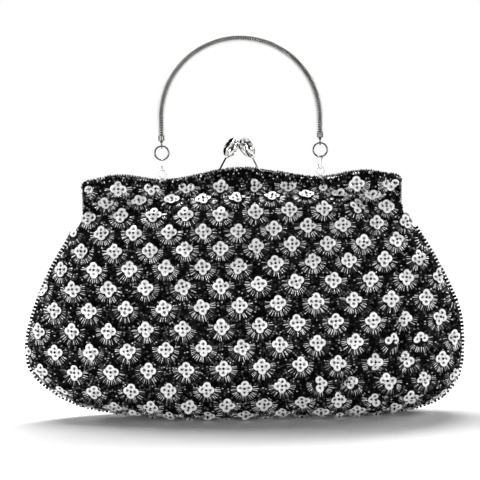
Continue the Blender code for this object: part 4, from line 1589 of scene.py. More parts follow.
    def arc_spots(self) -> Grid:
        """Seed beads in arcs round each fan, where its scallop ends.

        Returns:
            How far across and down each lies, and its turn.
        """
        found = []
        for ring, (extra, half_angle) in enumerate(self.arcs):
            radius = self.fan_inner + self.fan_length + extra
            step = self.seed_spacing / radius * self.arc_loosening
            for share in np.arange(-half_angle, half_angle, step):
                turn = math.pi / 2 + share + (ring % 2) * step / 2
                found.append(np.stack([
                    self.flowers[:, 0] + radius * math.cos(turn),
                    self.flowers[:, 1] + radius * math.sin(turn) * self.flowers[:, 3],
                    np.full(len(self.flowers), turn + math.pi / 2),
                ], axis=1))
        return np.concatenate(found)

    def fill_spots(self) -> Grid:
        """A tight net of places all over the cloth, for what the arcs leave open.

        Returns:
            How far across and down each lies, and its turn.
        """
        net = self.seed_spacing * self.net_share
        across = np.arange(self.map.across[0], self.map.across[-1], net)
        x, y = np.meshgrid(across, np.arange(0.0, self.map.levels[-1], net))
        spots = np.stack([x.ravel(), y.ravel(), self.draw.random(x.size) * math.pi], axis=1)
        spots[:, :2] += self.draw.normal(0.0, net * 0.2, (len(spots), 2))
        return spots

    def clear_of_motifs(self, spots: Grid) -> Grid:
        """Whether seed places miss the sequins and the fans.

        Args:
            spots: How far across and down each lies, and its turn.

        Returns:
            A mask.
        """
        free = np.ones(len(spots), bool)
        fan_start = self.fan_inner - self.fan_clearance[0]
        fan_end = self.fan_inner + self.fan_length + self.fan_clearance[1]
        fan_side = self.fan_half_angle + self.fan_side_clearance
        for across, down, turn, squash in self.flowers:
            close = (np.abs(spots[:, :2] - (across, down)) < self.motif_reach).all(axis=1)
            near = np.flatnonzero(close & free)
            x, y = spots[near, 0] - across, (spots[near, 1] - down) / squash
            away = np.hypot(x, y)
            angle = np.abs(np.angle(np.exp(1j * (np.arctan2(y, x) - math.pi / 2 - turn * 0.5))))
            in_fan = (away > fan_start) & (away < fan_end) & (angle < fan_side)
            petal = np.zeros(len(near), bool)
            for quarter in range(4):
                heading = turn + quarter * math.pi / 2
                petal_x = self.sequin_offset * math.cos(heading)
                petal_y = self.sequin_offset * math.sin(heading)
                petal |= np.hypot(x - petal_x, y - petal_y) < self.sequin_radius * self.crowding
            free[near[in_fan | petal]] = False
        return free

    @staticmethod
    def spaced(groups: Sequence[Grid], spacing: float) -> Grid:
        """Spots taken in turn, each dropped if it lies too near one already taken.

        Args:
            groups: The spots, the ones to be taken first in front.
            spacing: The least distance between two.

        Returns:
            The spots that stay.
        """
        taken: dict[tuple[int, int], list[tuple[float, float]]] = {}
        kept = []
        for across, down, angle in np.concatenate(groups).tolist():
            column, row = int(across // spacing), int(down // spacing)
            crowded = any(
                (across - x) ** 2 + (down - y) ** 2 < spacing ** 2
                for i in (column - 1, column, column + 1)
                for j in (row - 1, row, row + 1)
                for x, y in taken.get((i, j), ())
            )
            if not crowded:
                taken.setdefault((column, row), []).append((across, down))
                kept.append((across, down, angle))
        return np.array(kept)

    def pins(self) -> Grid:
        """The seed beads that hold the sequins: one in each hole, and one over each flower's middle.

        Returns:
            How far across and down each lies, its lift, and its size along each axis.
        """
        holes, middles = self.sequin_spots[:, :3] + (0.0, 0.0, self.hole_pin_rise), self.flowers[:, :2]
        lift = self.gathered_lift * self.gathered + self.middle_pin_lift
        pins = np.concatenate([
            np.column_stack([holes, np.tile(self.hole_pin, (len(holes), 1))]),
            np.column_stack([middles, lift, np.tile(self.middle_pin, (len(middles), 1))]),
        ])
        border = self.border + self.sequin_inset
        return pins[self.inside(pins[:, 0], pins[:, 1], self.sequin_radius * 0.5, border)]

    def ground_seeds(self) -> Places:
        """Seed beads of the borders, the scallops' edges and the ground, and the pins.

        Returns:
            Their places.
        """
        groups = [self.border_spots()]
        for spots in (self.arc_spots(), self.fill_spots()):
            border = self.border_first + self.bugle_inset
            spots = spots[self.inside(spots[:, 0], spots[:, 1], self.edge_margin, border)]
            groups.append(spots[self.clear_of_motifs(spots)])
        ground = self.spaced(groups, self.seed_spacing * self.crowding)
        count = len(ground)
        radius = self.seed_radius * self.around_one(0.06, count)
        sizes = np.stack([self.seed_half_length * self.around_one(0.08, count), radius, radius], axis=1)
        lift = self.seed_lift[0] + self.draw.random(count) * self.seed_lift[1]
        flat = self.places(ground[:, 0], ground[:, 1], ground[:, 2], lift, sizes, self.seed_tilt)
        pins = self.pins()
        turn = self.draw.random(len(pins)) * math.pi
        pinned = self.places(pins[:, 0], pins[:, 1], turn, pins[:, 2], pins[:, 3:], self.pin_tilt)
        pinned.tones *= self.pin_tone
        return flat + pinned

    def rim_seeds(self) -> Places:
        """Seed beads that roll over the cloth's upper edge, but for the gap where a knob's strip lies.

        Returns:
            Their places.
        """
        edge = self.map.points[0]
        length = run_lengths(edge)
        spots = np.arange(self.seed_half_length, length[-1] - self.seed_half_length, self.seed_spacing)
        points = at_lengths(spots, length, edge)
        points = points[(points[:, 0] < self.rim_gap[0]) | (points[:, 0] > self.rim_gap[1])]
        count = len(points)
        along = unit(np.gradient(points, axis=0))
        inward = np.array((0.0, 1.0, 0.0))
        over = unit(np.cross(along, inward))
        points = points + inward * self.rim_inward + over * self.rim_up
        points += self.draw.normal(0.0, self.rim_stray, points.shape)
        axes = np.stack([along, np.cross(over, along), over], axis=2)
        radius = self.seed_radius * self.around_one(0.05, count)
        sizes = np.stack([np.full(count, self.seed_half_length), radius, radius], axis=1)
        return Places(points, axes, sizes, self.draw.random(count)).turned_to(self.skin.half)


@dataclass
class Panels:
    """The sewn layers of one half: the ground cloth, its wadding and the satin lining."""

    skin: Skin
    cloth_thickness: float = 0.0005
    wadding_depth: float = 0.0012
    wadding_thickness: float = 0.0016
    wadding_below_hinge: float = 0.004
    lining_depth: float = 0.0038
    lining_thickness: float = 0.0004
    channel_depth: float = 0.0037
    channel_inset: float = 0.0016
    channel_half_width: float = 0.0970
    channel_rise: float = 0.009
    narrowing_rise: float = -0.004
    channel_fade: float = 0.010
    cloth_cut: tuple[float, float] = (0.296, 0.196)
    cloth_area: float = 0.0445
    lining_cut: tuple[float, float] = (0.286, 0.191)
    lining_area: float = 0.0410

    def layer(self, name: str, points: Grid, thickness: float, finish: Finish) -> bpy.types.Object:
        """A sheet with a wall.

        Args:
            name: What it is called.
            points: Its outer side, as front points.
            thickness: Its wall.
            finish: What it is made of.

        Returns:
            The sheet, on this half.
        """
        made = piece(name, loft(points * self.skin.half.mirror), finish, sharp=180.0)
        middle = made.data.polygons[len(made.data.polygons) // 2]
        if middle.normal.y * self.skin.half.value < 0:
            made.data.flip_normals()
        wall = made.modifiers.new("wall", "SOLIDIFY")
        wall.thickness = thickness
        wall.offset = -1.0
        return made

    def lining_points(self) -> Grid:
        """The front surface moved inward, with its top drawn into the bow's channel.

        Returns:
            Rows of points.
        """
        inner = self.skin.inward(self.lining_depth, 2)
        above = self.skin.surface[::2, ::2, 2] - HINGE_HEIGHT
        up = ease((above - self.channel_rise) / self.channel_fade)
        limit = self.channel_half_width / (self.skin.line.half_width - FRAME_REVEAL)
        inner[..., 0] *= 1 - (1 - limit) * ease((above - self.narrowing_rise) / self.channel_fade)
        top = self.skin.line.edge(inner[..., 0], self.channel_inset)
        inner[..., 2] = np.where(up > 0, np.minimum(inner[..., 2], top), inner[..., 2])
        inner[..., 1] = np.minimum(inner[..., 1], -INNER_GAP)
        inner[..., 1] = inner[..., 1] * (1 - up) - self.channel_depth * up
        return inner

    def wadding_points(self) -> Grid:
        """The front surface below the hinge, moved inward.

        Returns:
            Rows of points.
        """
        points = self.skin.surface[::2, ::2]
        height = points[:, points.shape[1] // 2, 2]
        points = points[height < HINGE_HEIGHT - self.wadding_below_hinge]
        inner = points - Skin.normals(points) * self.wadding_depth
        inner[..., 1] = np.minimum(inner[..., 1], -INNER_GAP)
        return inner

    def build(self) -> list[bpy.types.Object]:
        """Makes the layers from the outside in.

        Returns:
            The ground cloth, the wadding and the lining.
        """
        half, label = self.skin.half, self.skin.half.label
        cloth = self.layer(f"{label}_ground_cloth", self.skin.surface, self.cloth_thickness, CLOTH)
        dress_half(cloth, half, "beaded_fabric", f"{label}_panel_lower", f"{label}_panel_upper")
        wadding = self.layer(f"{label}_wadding", self.wadding_points(), self.wadding_thickness, FLEECE)
        dress(wadding, "pouch", "foam", f"{label}_padding")
        lining = self.layer(f"{label}_lining", self.lining_points(), self.lining_thickness, SATIN)
        dress_half(lining, half, "black_satin", f"{label}_lining_lower", f"{label}_lining_upper")
        return [cloth, wadding, lining]


@dataclass
class SlipPocket:
    """The satin pocket on the rear lining."""

    skin: Skin
    depth: float = 0.0046
    half_width: float = 0.052
    low: float = 0.030
    high: float = 0.092
    thickness: float = 0.0006
    cut: tuple[float, float] = (0.106, 0.068)

    def build(self) -> list[bpy.types.Object]:
        """Makes the pocket from a part of the rear surface.

        Returns:
            The pocket.
        """
        points = self.skin.surface
        height = points[:, points.shape[1] // 2, 2]
        rows = np.flatnonzero((height > self.low) & (height < self.high))
        columns = np.flatnonzero(np.abs(points[rows[0], :, 0]) < self.half_width)
        part = self.skin.inward(self.depth)[rows[0]:rows[-1] + 1, columns[0]:columns[-1] + 1]
        made = Panels(self.skin).layer("slip_pocket", part, self.thickness, SATIN)
        dress(made, "pouch", "black_satin", "inner_pocket")
        return [made]


@dataclass
class SeamEdging:
    """Piping along the pouch's seam, with a picot of short bugles set square to it."""

    front: Skin
    piping_radius: float = 0.0008
    piping_sides: int = 10
    end_below_hinge: float = 0.008
    stub_radius: float = 0.00082
    stub_half_length: float = 0.00105
    stub_pitch: float = 0.0024
    stub_stray: float = 0.07
    stub_spread: float = 0.06
    forward: float = 0.02
    stand_off: float = 0.0019
    floor_clearance: float = 0.0016
    seed: int = 19

    def route(self) -> Grid:
        """The seam's line, from under one hinge round the base to the other.

        Returns:
            Points at half the picots' pitch.
        """
        points = self.front.surface
        low = points[:, 0, 2] < HINGE_HEIGHT - self.end_below_hinge
        seam = np.concatenate([points[low, 0], points[-1, 1:-1], points[low, -1][::-1]])
        seam[:, 1] = 0.0
        length = run_lengths(seam)
        return at_lengths(np.arange(0.0, length[-1], self.stub_pitch / 2), length, seam)

    def build(self) -> list[bpy.types.Object]:
        """Makes the piping and its picots.

        Returns:
            The piping, then the picots.
        """
        path = self.route()
        outward = np.cross(unit(np.gradient(path, axis=0)), np.array((0.0, 1.0, 0.0)))
        if ((path - path.mean(axis=0)) * outward).sum() < 0:
            outward = -outward
        tube = sweep(path, self.piping_radius, self.piping_sides)
        piping = piece("seam_piping", loft(tube, around=True, capped=True), CLOTH)
        dress(piping, "pouch", "black_beads", "seam_edging")
        draw = np.random.default_rng(self.seed)
        spots = np.arange(1, len(path) - 1, 2)
        count = len(spots)
        outward[:, 2] *= ease((path[:, 2] - self.floor_clearance) / self.floor_clearance)
        outward = unit(outward + np.array((0.0, -self.forward, 0.0)))
        direction = unit(outward[spots] + draw.normal(0.0, self.stub_stray, (count, 3)))
        side = unit(np.cross(direction, np.array((0.0, 1.0, 0.0))))
        axes = np.stack([direction, side, np.cross(direction, side)], axis=2)
        points = path[spots] + outward[spots] * (self.stand_off - self.piping_radius * 0.4)
        size = np.array((self.stub_half_length, self.stub_radius, self.stub_radius))
        sizes = size[None] * (1 + draw.normal(0.0, self.stub_spread, (count, 1)))
        made = stamp("seam_picots", bugle(), Places(points, axes, sizes, draw.random(count)), JET)
        for item in made:
            dress(item, "pouch", "black_beads")
        return [piping, *made]


# Metalwork


@dataclass
class FrameBow:
    """One plated bow: a U-channel with a rolled back, and an ear with an eye at the end of each arm."""

    half: Half
    half_width: float = FRAME_HALF_WIDTH
    band: float = 0.006
    thickness: float = 0.0046
    wall: float = 0.0008
    corner: float = 0.0011
    least_bend: float = 0.0001
    arm_end_rise: float = 0.0048
    ear_radius: float = 0.004
    ear_steps: int = 28
    strap_angle: float = 0.3
    strap_half_width: float = 0.0020
    pin_bore: float = 0.0015

    def section(self) -> list[tuple[float, float]]:
        """The channel's outline.

        Returns:
            Points as (inset, across), round the outside and back inside.
        """
        half, wall, corner = self.thickness / 2, self.wall, self.corner
        lip = wall / 2
        outside = [
            (corner - corner * math.sin(turn), half - corner + corner * math.cos(turn))
            for turn in np.linspace(0.0, math.pi / 2, 5)
        ]
        leg = [
            (self.band - lip + lip * math.cos(turn), half - lip + lip * math.sin(turn))
            for turn in np.linspace(-math.pi / 2, math.pi / 2, 5)
        ]
        inner = corner - wall + self.least_bend
        inside = [
            (wall + inner - inner * math.sin(turn), half - wall - inner + inner * math.cos(turn))
            for turn in np.linspace(math.pi / 2, 0.0, 3)
        ]
        one = inside + leg + outside
        return one + [(inset, -across) for inset, across in reversed(one)]

    def build(self) -> list[bpy.types.Object]:
        """Makes the channel and its two ears as one plated piece.

        Returns:
            The bow.
        """
        line = BowLine(half_width=self.half_width)
        columns = []
        for inset, across in self.section():
            path = line.path(inset, HINGE_HEIGHT + self.arm_end_rise)
            y = np.full(len(path), self.half.value * BOW_MIDDLE_Y + across)
            columns.append(np.stack([path[:, 0], y, path[:, 1]], axis=1))
        channel = loft(np.stack(columns, axis=1), around=True, capped=True)
        parts = joined([channel, *(self.ear(hand) for hand in Hand)])
        made = piece(f"{self.half.label}_bow", parts, PLATE, METAL_CREASE)
        return [dress(made, self.half.body, "bright_steel", f"{self.half.label}_frame")]

    def ear(self, hand: Hand) -> bmesh.types.BMesh:
        """A flat strap down the arm with a pierced round eye on the hinge line.

        Args:
            hand: Which arm.

        Returns:
            The ear.
        """
        outer, inner = [], []
        for step in range(self.ear_steps):
            angle = 2 * math.pi * step / self.ear_steps
            cosine, sine = math.cos(angle), math.sin(angle)
            y, z = self.ear_radius * cosine, self.ear_radius * sine
            if sine > self.strap_angle:
                strap = self.strap_half_width * cosine / math.cos(self.strap_angle)
                y = self.half.value * BOW_MIDDLE_Y + strap
                z = self.arm_end_rise * 2.0
            outer.append((y, HINGE_HEIGHT + z))
            inner.append((self.pin_bore * cosine, HINGE_HEIGHT + self.pin_bore * sine))
        near, far = hand.value * (self.half_width - self.wall), hand.value * self.half_width
        order = ((near, inner), (near, outer), (far, outer), (far, inner))
        rings = [[(x, y, z) for y, z in ring] for x, ring in order]
        return loft(np.array(rings), around=True, along=True)


@dataclass
class HingeRivet:
    """A domed rivet through both ears of one side."""

    hand: Hand
    head_radius: float = 0.0024
    head_rise: float = 0.0009
    shank_radius: float = 0.0012
    outer: float = 0.1014
    inner: float = 0.0985
    dome_steps: int = 8

    def build(self) -> list[bpy.types.Object]:
        """Turns the rivet about Z and lays it on the hinge line.

        Returns:
            The rivet.
        """
        turns = np.linspace(0.0, math.pi / 2, self.dome_steps)
        low = [
            (self.head_radius * math.sin(turn), self.inner - self.head_rise * math.cos(turn))
            for turn in turns
        ]
        high = [
            (self.head_radius * math.cos(turn), self.outer + self.head_rise * math.sin(turn))
            for turn in turns
        ]
        shank = [(self.shank_radius, self.inner), (self.shank_radius, self.outer)]
        profile = [(0.0, low[0][1]), *low[1:], *shank, *high[:-1], (0.0, high[-1][1])]
        bm = turned(profile)
        lying = Matrix.Rotation(self.hand.value * math.pi / 2, 4, "Y")
        bm.transform(Matrix.Translation((0.0, 0.0, HINGE_HEIGHT)) @ lying)
        made = piece(f"{self.hand.label}_rivet", bm, PLATE)
        return [dress(made, "pouch", "bright_steel", f"{self.hand.label}_hinge_rivet")]


@dataclass(frozen=True)
class Strip:
    """One flat strip under a knob: how far beside the collar's middle it ends, its thickness, its finish."""

    offset: float
    thickness: float
    finish: Finish


@dataclass(frozen=True)
class Petal:
    """How a petal is cut and curled.

    The spread is half of the angle that it wraps, the shrink how far inside the bud's swell it lies as a
    share, the top its height as a share of the knob's length, and the openness how far its lip rolls out.
    """

    spread: float
    shrink: float
    top: float
    openness: float


@dataclass
class RosebudKnob:
    """One knob of the kiss-lock: rolled petals round a bud, on a collar and one or two bent strips."""

    half: Half
    hand: Hand
    strips: tuple[Strip, ...]
    bend_x: float = 0.0118
    x: float = 0.0050
    shift: float = -0.0012
    height: float = FRAME_CROWN_HEIGHT + 0.0142
    crossing: float = 0.0008
    lean: float = math.radians(28.0)
    radius: float = 0.0044
    half_length: float = 0.0062
    outer_petals: tuple[Petal, ...] = (
        Petal(math.radians(37.0), 0.90, 0.84, 1.2),
        Petal(math.radians(37.0), 0.90, 0.89, 1.2),
    )
    outer_count: int = 5
    inner_petal: Petal = Petal(math.radians(30.0), 0.72, 1.02, 1.0)
    inner_count: int = 4
    inner_turn: float = 0.4
    heart: Petal = Petal(math.radians(150.0), 0.40, 1.04, 0.2)
    heart_angle: float = 0.6
    petal_rows: int = 18
    petal_columns: int = 11
    petal_twist: float = 0.55
    petal_round: float = 0.13
    lip_start: float = 0.76
    lip_roll: float = 0.10
    petal_thickness: float = 0.00040
    least_reach: float = 0.0002
    overlap: float = 0.17
    strip_width: float = 0.0024
    strip_gap: float = 0.0003
    strip_end: float = 0.0012
    strip_corner: float = 0.3
    foot_start: float = 0.0012
    foot_length: float = 0.0100
    foot_steps: int = 8

    def place(self) -> Matrix:
        """From the knob's own frame, with its axis along Z, to its place over the frame.

        Returns:
            The transform.
        """
        axis = Vector((-self.hand.value * math.sin(self.lean), 0.0, math.cos(self.lean)))
        across = self.hand.value * self.x + self.shift
        centre = Vector((across, -self.half.value * self.crossing, self.height))
        return Matrix.Translation(centre) @ axis.to_track_quat("Z", "Y").to_matrix().to_4x4()

    def swell(self, share: Grid) -> Grid:
        """Radius of the bud at a share of its length, from the collar to the tip."""
        return self.radius * np.sin(math.pi * np.clip(share * 0.80 + 0.10, 0.0, 0.97)) ** 0.62

    def petal(self, angle: float, cut: Petal) -> bmesh.types.BMesh:
        """One curled petal with a rolled lip.

        Args:
            angle: Where round the bud its middle lies.
            cut: How it is cut and curled.

        Returns:
            A closed petal.
        """
        share = np.linspace(0.0, 1.0, self.petal_rows)[:, None]
        across = np.linspace(-1.0, 1.0, self.petal_columns)[None, :]
        width = cut.spread * np.sin(math.pi * np.clip(0.16 + 0.66 * share, 0.0, 1.0)) ** 0.7
        turn = angle + across * width + self.petal_twist * share
        lift = share * cut.top * (1 - self.petal_round * across ** 2 * share)
        curl = cut.openness * ease((share - self.lip_start) / (1 - self.lip_start)) * self.lip_roll
        reach = self.swell(lift) * (cut.shrink + self.overlap * across + curl)
        z = -self.half_length + 2 * self.half_length * lift
        inside = np.maximum(reach - self.petal_thickness, self.least_reach)
        outer, inner = (np.stack([r * np.cos(turn), r * np.sin(turn), z], axis=2) for r in (reach, inside))
        return loft(np.concatenate([outer, inner[:, ::-1]], axis=1), around=True, capped=True)

    def core(self) -> bmesh.types.BMesh:
        """A near-black filling that shows between the petals: painted shade in the gaps.

        Returns:
            The filling, in its place.
        """
        low = self.half_length
        whole = turned((
            (0.0, -low * 0.96), (0.0018, -low * 0.9), (0.0030, -0.0024),
            (0.0026, 0.0018), (0.0012, 0.0044), (0.0, 0.0052),
        ), 20)
        whole.transform(self.place())
        return whole

    def bud(self) -> bmesh.types.BMesh:
        """The petals and the turned collar under them.

        Returns:
            The bud, in its place.
        """
        parts = []
        for index in range(self.outer_count):
            parts.append(self.petal(2 * math.pi * index / self.outer_count, self.outer_petals[index % 2]))
        for index in range(self.inner_count):
            angle = 2 * math.pi * (index + self.inner_turn) / self.inner_count
            parts.append(self.petal(angle, self.inner_petal))
        parts.append(self.petal(self.heart_angle, self.heart))
        collar = (
            (0.0, -0.0013), (0.0012, -0.0013), (0.0016, -0.0009), (0.0016, -0.0003),
            (0.0012, 0.0), (0.0013, 0.0004), (0.0021, 0.0009), (0.0018, 0.0014), (0.0, 0.0016),
        )
        parts.append(turned([(radius, rise - self.half_length) for radius, rise in collar], 24))
        whole = joined(parts)
        whole.transform(self.place())
        return whole

    def strip(self, strip: Strip) -> bmesh.types.BMesh:
        """A flat strip from its foot along the bow's top up to the collar.

        Args:
            strip: Where it ends and how thick it is.

        Returns:
            The strip, in its place.
        """
        line, side, thickness = BowLine(), self.hand.value, strip.thickness
        y = self.half.value * BOW_MIDDLE_Y

        def lying(x: float) -> tuple[float, float, float]:
            """A point of the strip's middle where it lies on the bow."""
            return side * x + self.shift, y, float(line.top(np.array(x))) + self.strip_gap + thickness / 2

        collar = self.place() @ Vector((strip.offset, 0.0, -self.half_length - self.strip_end))
        bend = Vector(lying(self.bend_x))
        feet = np.linspace(1.0, 0.0, self.foot_steps)
        points = [lying(self.bend_x + self.foot_start + self.foot_length * share) for share in feet]
        points += [tuple(bend + (collar - bend) * share) for share in (0.16, 0.4, 0.7, 1.0)]
        path = smooth_rows(np.array(points), 3)
        flat = np.array((0.0, 1.0, 0.0))
        face = unit(np.cross(unit(np.gradient(path, axis=0)), flat))
        corner, shoulder = self.strip_corner, 1.0 - self.strip_corner * 0.3
        outline = (
            (1.0, -corner), (1.0, corner), (shoulder, 1.0), (-shoulder, 1.0),
            (-1.0, corner), (-1.0, -corner), (-shoulder, -1.0), (shoulder, -1.0),
        )
        rings = [path + flat[None] * a * self.strip_width / 2 + face * b * thickness / 2 for a, b in outline]
        return loft(np.stack(rings, axis=1), around=True, capped=True)

    def build(self) -> list[bpy.types.Object]:
        """Makes the bud and the strips that carry it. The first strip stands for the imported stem.

        Returns:
            The rosebud, its core and the strips.
        """
        label, body = self.half.label, self.half.body
        rose = piece(f"{label}_rosebud", self.bud(), PLATE, METAL_CREASE)
        core = piece(f"{label}_rosebud_core", self.core(), SHADE_PLATE)
        made = [dress(rose, body, "bright_steel", f"{label}_knob"), dress(core, body, "bright_steel")]
        for strip, ending, nodes in zip(self.strips, ("", "_lining"), ((f"{label}_knob_stem",), ())):
            strap = piece(f"{label}_knob_strip{ending}", self.strip(strip), strip.finish, METAL_CREASE)
            made.append(dress(strap, body, "bright_steel", *nodes))
        return made


@dataclass
class HandleSide:
    """One end of the handle: eyelet, link, ring and end cap, each swinging in the next."""

    hand: Hand
    wire: float = 0.00045
    ring_wire: float = 0.00055
    ring_radius: float = 0.0044
    ring_steps: int = 64
    eyelet_radius: float = 0.00245
    lug_width: float = 0.0044
    lug_height: float = 0.0022
    lug_thickness: float = 0.0018
    lug_bevel: float = 0.0005
    lug_top_share: float = 0.62
    link_half_width: float = 0.0020
    link_rise: float = 0.0062
    right_link_turn: float = math.radians(35.0)
    seat: float = 0.0003
    cap_radius: float = 0.0021
    cap_length: float = 0.0034
    cap_rim: float = 0.0003
    cap_hollow: float = 0.0012
    neck_length: float = 0.0026

    def __post_init__(self) -> None:
        """Works out the heights of the pivots."""
        self.x = self.hand.value * EYELET_X
        self.eyelet_height = EYELET_DIP + self.seat + self.lug_height + self.eyelet_radius
        self.link_pivot = self.eyelet_height + self.eyelet_radius
        self.ring_pivot = self.link_pivot + self.link_rise
        self.cap_pivot = self.ring_pivot + 2 * self.ring_radius
        self.eye_radius = self.ring_wire + self.seat + self.wire
        self.cap_base = self.cap_pivot + self.eye_radius + self.neck_length - self.wire
        self.chain_end = self.cap_base + self.cap_length + self.seat

    def at(self, height: float) -> tuple[float, float, float]:
        """A point over the eyelet's place on the rear bow."""
        return self.x, BOW_MIDDLE_Y, height

    def eyelet(self) -> bpy.types.Object:
        """A wire eye on a small brazed saddle.

        Returns:
            The piece.
        """
        sideways = Vector((1.0, 0.0, 0.0))
        eye = wire_loop(self.at(self.eyelet_height), self.eyelet_radius, 0.0, sideways, self.ring_wire)
        lug = bmesh.new()
        bmesh.ops.create_cube(lug, size=1.0)
        lug.transform(Matrix.Diagonal((self.lug_width, self.lug_thickness, self.lug_height, 1.0)))
        bmesh.ops.bevel(lug, geom=lug.edges[:], offset=self.lug_bevel, segments=3, profile=0.5,
                        affect="EDGES", material=-1)
        for vert in lug.verts:
            if vert.co.z > 0:
                vert.co.x *= self.lug_top_share
        lug.transform(Matrix.Translation(self.at(EYELET_DIP + self.seat + self.lug_height / 2)))
        made = piece(f"{self.hand.label}_frame_eye", joined([eye, lug]), EYE_PLATE)
        return dress(made, "rear_half", "bright_steel", f"{self.hand.label}_eyelet")

    def link(self) -> bpy.types.Object:
        """A long link, edge on at the left and half turned at the right.

        Returns:
            The piece.
        """
        low, high = self.link_pivot - self.eye_radius, self.ring_pivot + self.eye_radius
        turn = self.right_link_turn if self.hand is Hand.RIGHT else 0.0
        sideways = Vector((math.sin(turn), math.cos(turn), 0.0))
        straight = (high - low) / 2 - self.link_half_width
        bm = wire_loop(self.at((low + high) / 2), self.link_half_width, straight, sideways, self.wire)
        made = piece(f"{self.hand.label}_oval_link", bm, PLATE)
        return dress(made, f"{self.hand.label}_link", "bright_steel", f"{self.hand.label}_link")

    def ring(self) -> bpy.types.Object:
        """The round ring that carries the end cap.

        Returns:
            The piece.
        """
        centre, sideways = self.at(self.ring_pivot + self.ring_radius), Vector((1.0, 0.0, 0.0))
        bm = wire_loop(centre, self.ring_radius, 0.0, sideways, self.ring_wire, self.ring_steps)
        made = piece(f"{self.hand.label}_jump_ring", bm, SHADED_PLATE)
        return dress(made, f"{self.hand.label}_ring", "bright_steel", f"{self.hand.label}_ring")

    def cap(self) -> bpy.types.Object:
        """A turned sleeve with rounded rims, a neck and a wire eye.

        Returns:
            The piece.
        """
        radius, length, rim = self.cap_radius, self.cap_length, self.cap_rim
        sleeve = turned([
            (0.0, -0.0016), (0.0008, -0.0016), (0.0009, -0.0008), (0.0013, -rim), (radius - rim, 0.0),
            (radius, rim), (radius, 2.2 * rim), (radius - 0.6 * rim, 2.8 * rim),
            (radius - 0.6 * rim, length - 2.8 * rim), (radius, length - 2.2 * rim), (radius, length - rim),
            (radius - rim, length), (radius - 2 * rim, length), (radius - 2 * rim, length - self.cap_hollow),
            (0.0, length - self.cap_hollow),
        ], 36)
        sleeve.transform(Matrix.Translation(self.at(self.cap_base)))
        eye = wire_loop(self.at(self.cap_pivot), self.eye_radius, 0.0, Vector((0.0, 1.0, 0.0)), self.wire)
        made = piece(f"{self.hand.label}_sleeve", joined([sleeve, eye]), SHADED_PLATE)
        return dress(made, "handle", "bright_steel", f"{self.hand.label}_end_cap")

    def build(self) -> list[bpy.types.Object]:
        """Makes the four fittings from the frame up."""
        return [self.eyelet(), self.link(), self.ring(), self.cap()]


@dataclass
class SnakeChain:
    """The handle's chain: nested wavy ribs on a core, in an arch between the two caps.

    A rib's profile gives places along the chain as shares of the pitch, and the radius there as a share.
    """

    side: HandleSide
    straight: float = 0.0100
    radius: float = 0.0024
    end_radius: float = 0.0020
    taper: float = 0.018
    ribs: int = 118
    wave: float = 0.00006
    waves: int = 6
    rib_sides: int = 24
    rib_profile: tuple = ((-0.20, 0.50), (-0.22, 0.94), (-0.12, 1.0), (0.12, 1.0), (0.22, 0.94), (0.20, 0.50))
    core_share: float = 0.64
    core_end: float = 0.0008
    core_steps: int = 160
    core_sides: int = 16
    seed: int = 5

    def point(self, distance: Grid) -> tuple[Grid, Grid]:
        """Where the centre line runs.

        Args:
            distance: How far each point lies from the left cap.

        Returns:
            Points, and directions along the line.
        """
        total = 2 * self.straight + math.pi * EYELET_X
        angle = math.pi - np.clip((distance - self.straight) / EYELET_X, 0.0, math.pi)
        below = np.maximum(self.straight - distance, 0.0) + np.maximum(distance - total + self.straight, 0.0)
        base = self.side.chain_end + self.straight
        x, z = EYELET_X * np.cos(angle), base + EYELET_X * np.sin(angle) - below
        direction = np.stack([np.sin(angle), np.zeros_like(angle), -np.cos(angle)], axis=-1)
        return np.stack([x, np.full_like(x, BOW_MIDDLE_Y), z], axis=-1), direction

    def rib(self, pitch: float) -> bmesh.types.BMesh:
        """A ring with rounded rims and a slight wave.

        Args:
            pitch: The distance from one rib to the next.

        Returns:
            The rib, round the origin.
        """
        turn = np.arange(self.rib_sides) * 2 * math.pi / self.rib_sides
        wave = self.wave * np.cos(self.waves * turn)
        cosine, sine = self.radius * np.cos(turn), self.radius * np.sin(turn)
        rows = [
            np.stack([pitch * place + wave, share * cosine, share * sine], 1)
            for place, share in self.rib_profile
        ]
        return loft(np.array(rows), around=True, along=True)

    def build(self) -> list[bpy.types.Object]:
        """Makes the ribs and the core that they hide.

        Returns:
            The ribs, then the core.
        """
        total = 2 * self.straight + math.pi * EYELET_X
        pitch = total / self.ribs
        distance = (np.arange(self.ribs) + 0.5) * pitch
        points, along = self.point(distance)
        over = np.cross(along, np.array((0.0, 1.0, 0.0)))
        axes = np.stack([along, np.broadcast_to((0.0, 1.0, 0.0), along.shape), over], axis=2)
        axes[np.linalg.det(axes) < 0, :, 2] *= -1
        near_end = np.minimum(distance, total - distance)
        radius = self.end_radius + (self.radius - self.end_radius) * ease(near_end / self.taper)
        share = radius / self.radius
        sizes = np.stack([np.ones(self.ribs), share, share], axis=1)
        tones = np.random.default_rng(self.seed).random(self.ribs)
        made = stamp("snake_chain_ribs", self.rib(pitch), Places(points, axes, sizes, tones), CHAIN_PLATE)
        dress(made[0], "handle", "bright_steel", "snake_chain")
        path, _ = self.point(np.linspace(-self.core_end, total + self.core_end, self.core_steps))
        tube = sweep(path, self.end_radius * self.core_share, self.core_sides)
        # The near-black core is painted shade that shows between the ribs.
        core = piece("snake_chain_core", loft(tube, around=True, capped=True), SHADE_PLATE)
        return [*made, dress(core, "handle", "bright_steel")]


@dataclass
class PaperCords:
    """Gives the two packed cords in the bows' channels their finish."""

    def build(self) -> list[bpy.types.Object]:
        """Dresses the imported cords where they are.

        Returns:
            The cords.
        """
        cords = [frame["nodes"][f"{half.label}_frame_cord"] for half in Half]
        for cord in cords:
            cord.data.materials.clear()
            cord.data.materials.append(CORD.material())
        return cords


# Studio


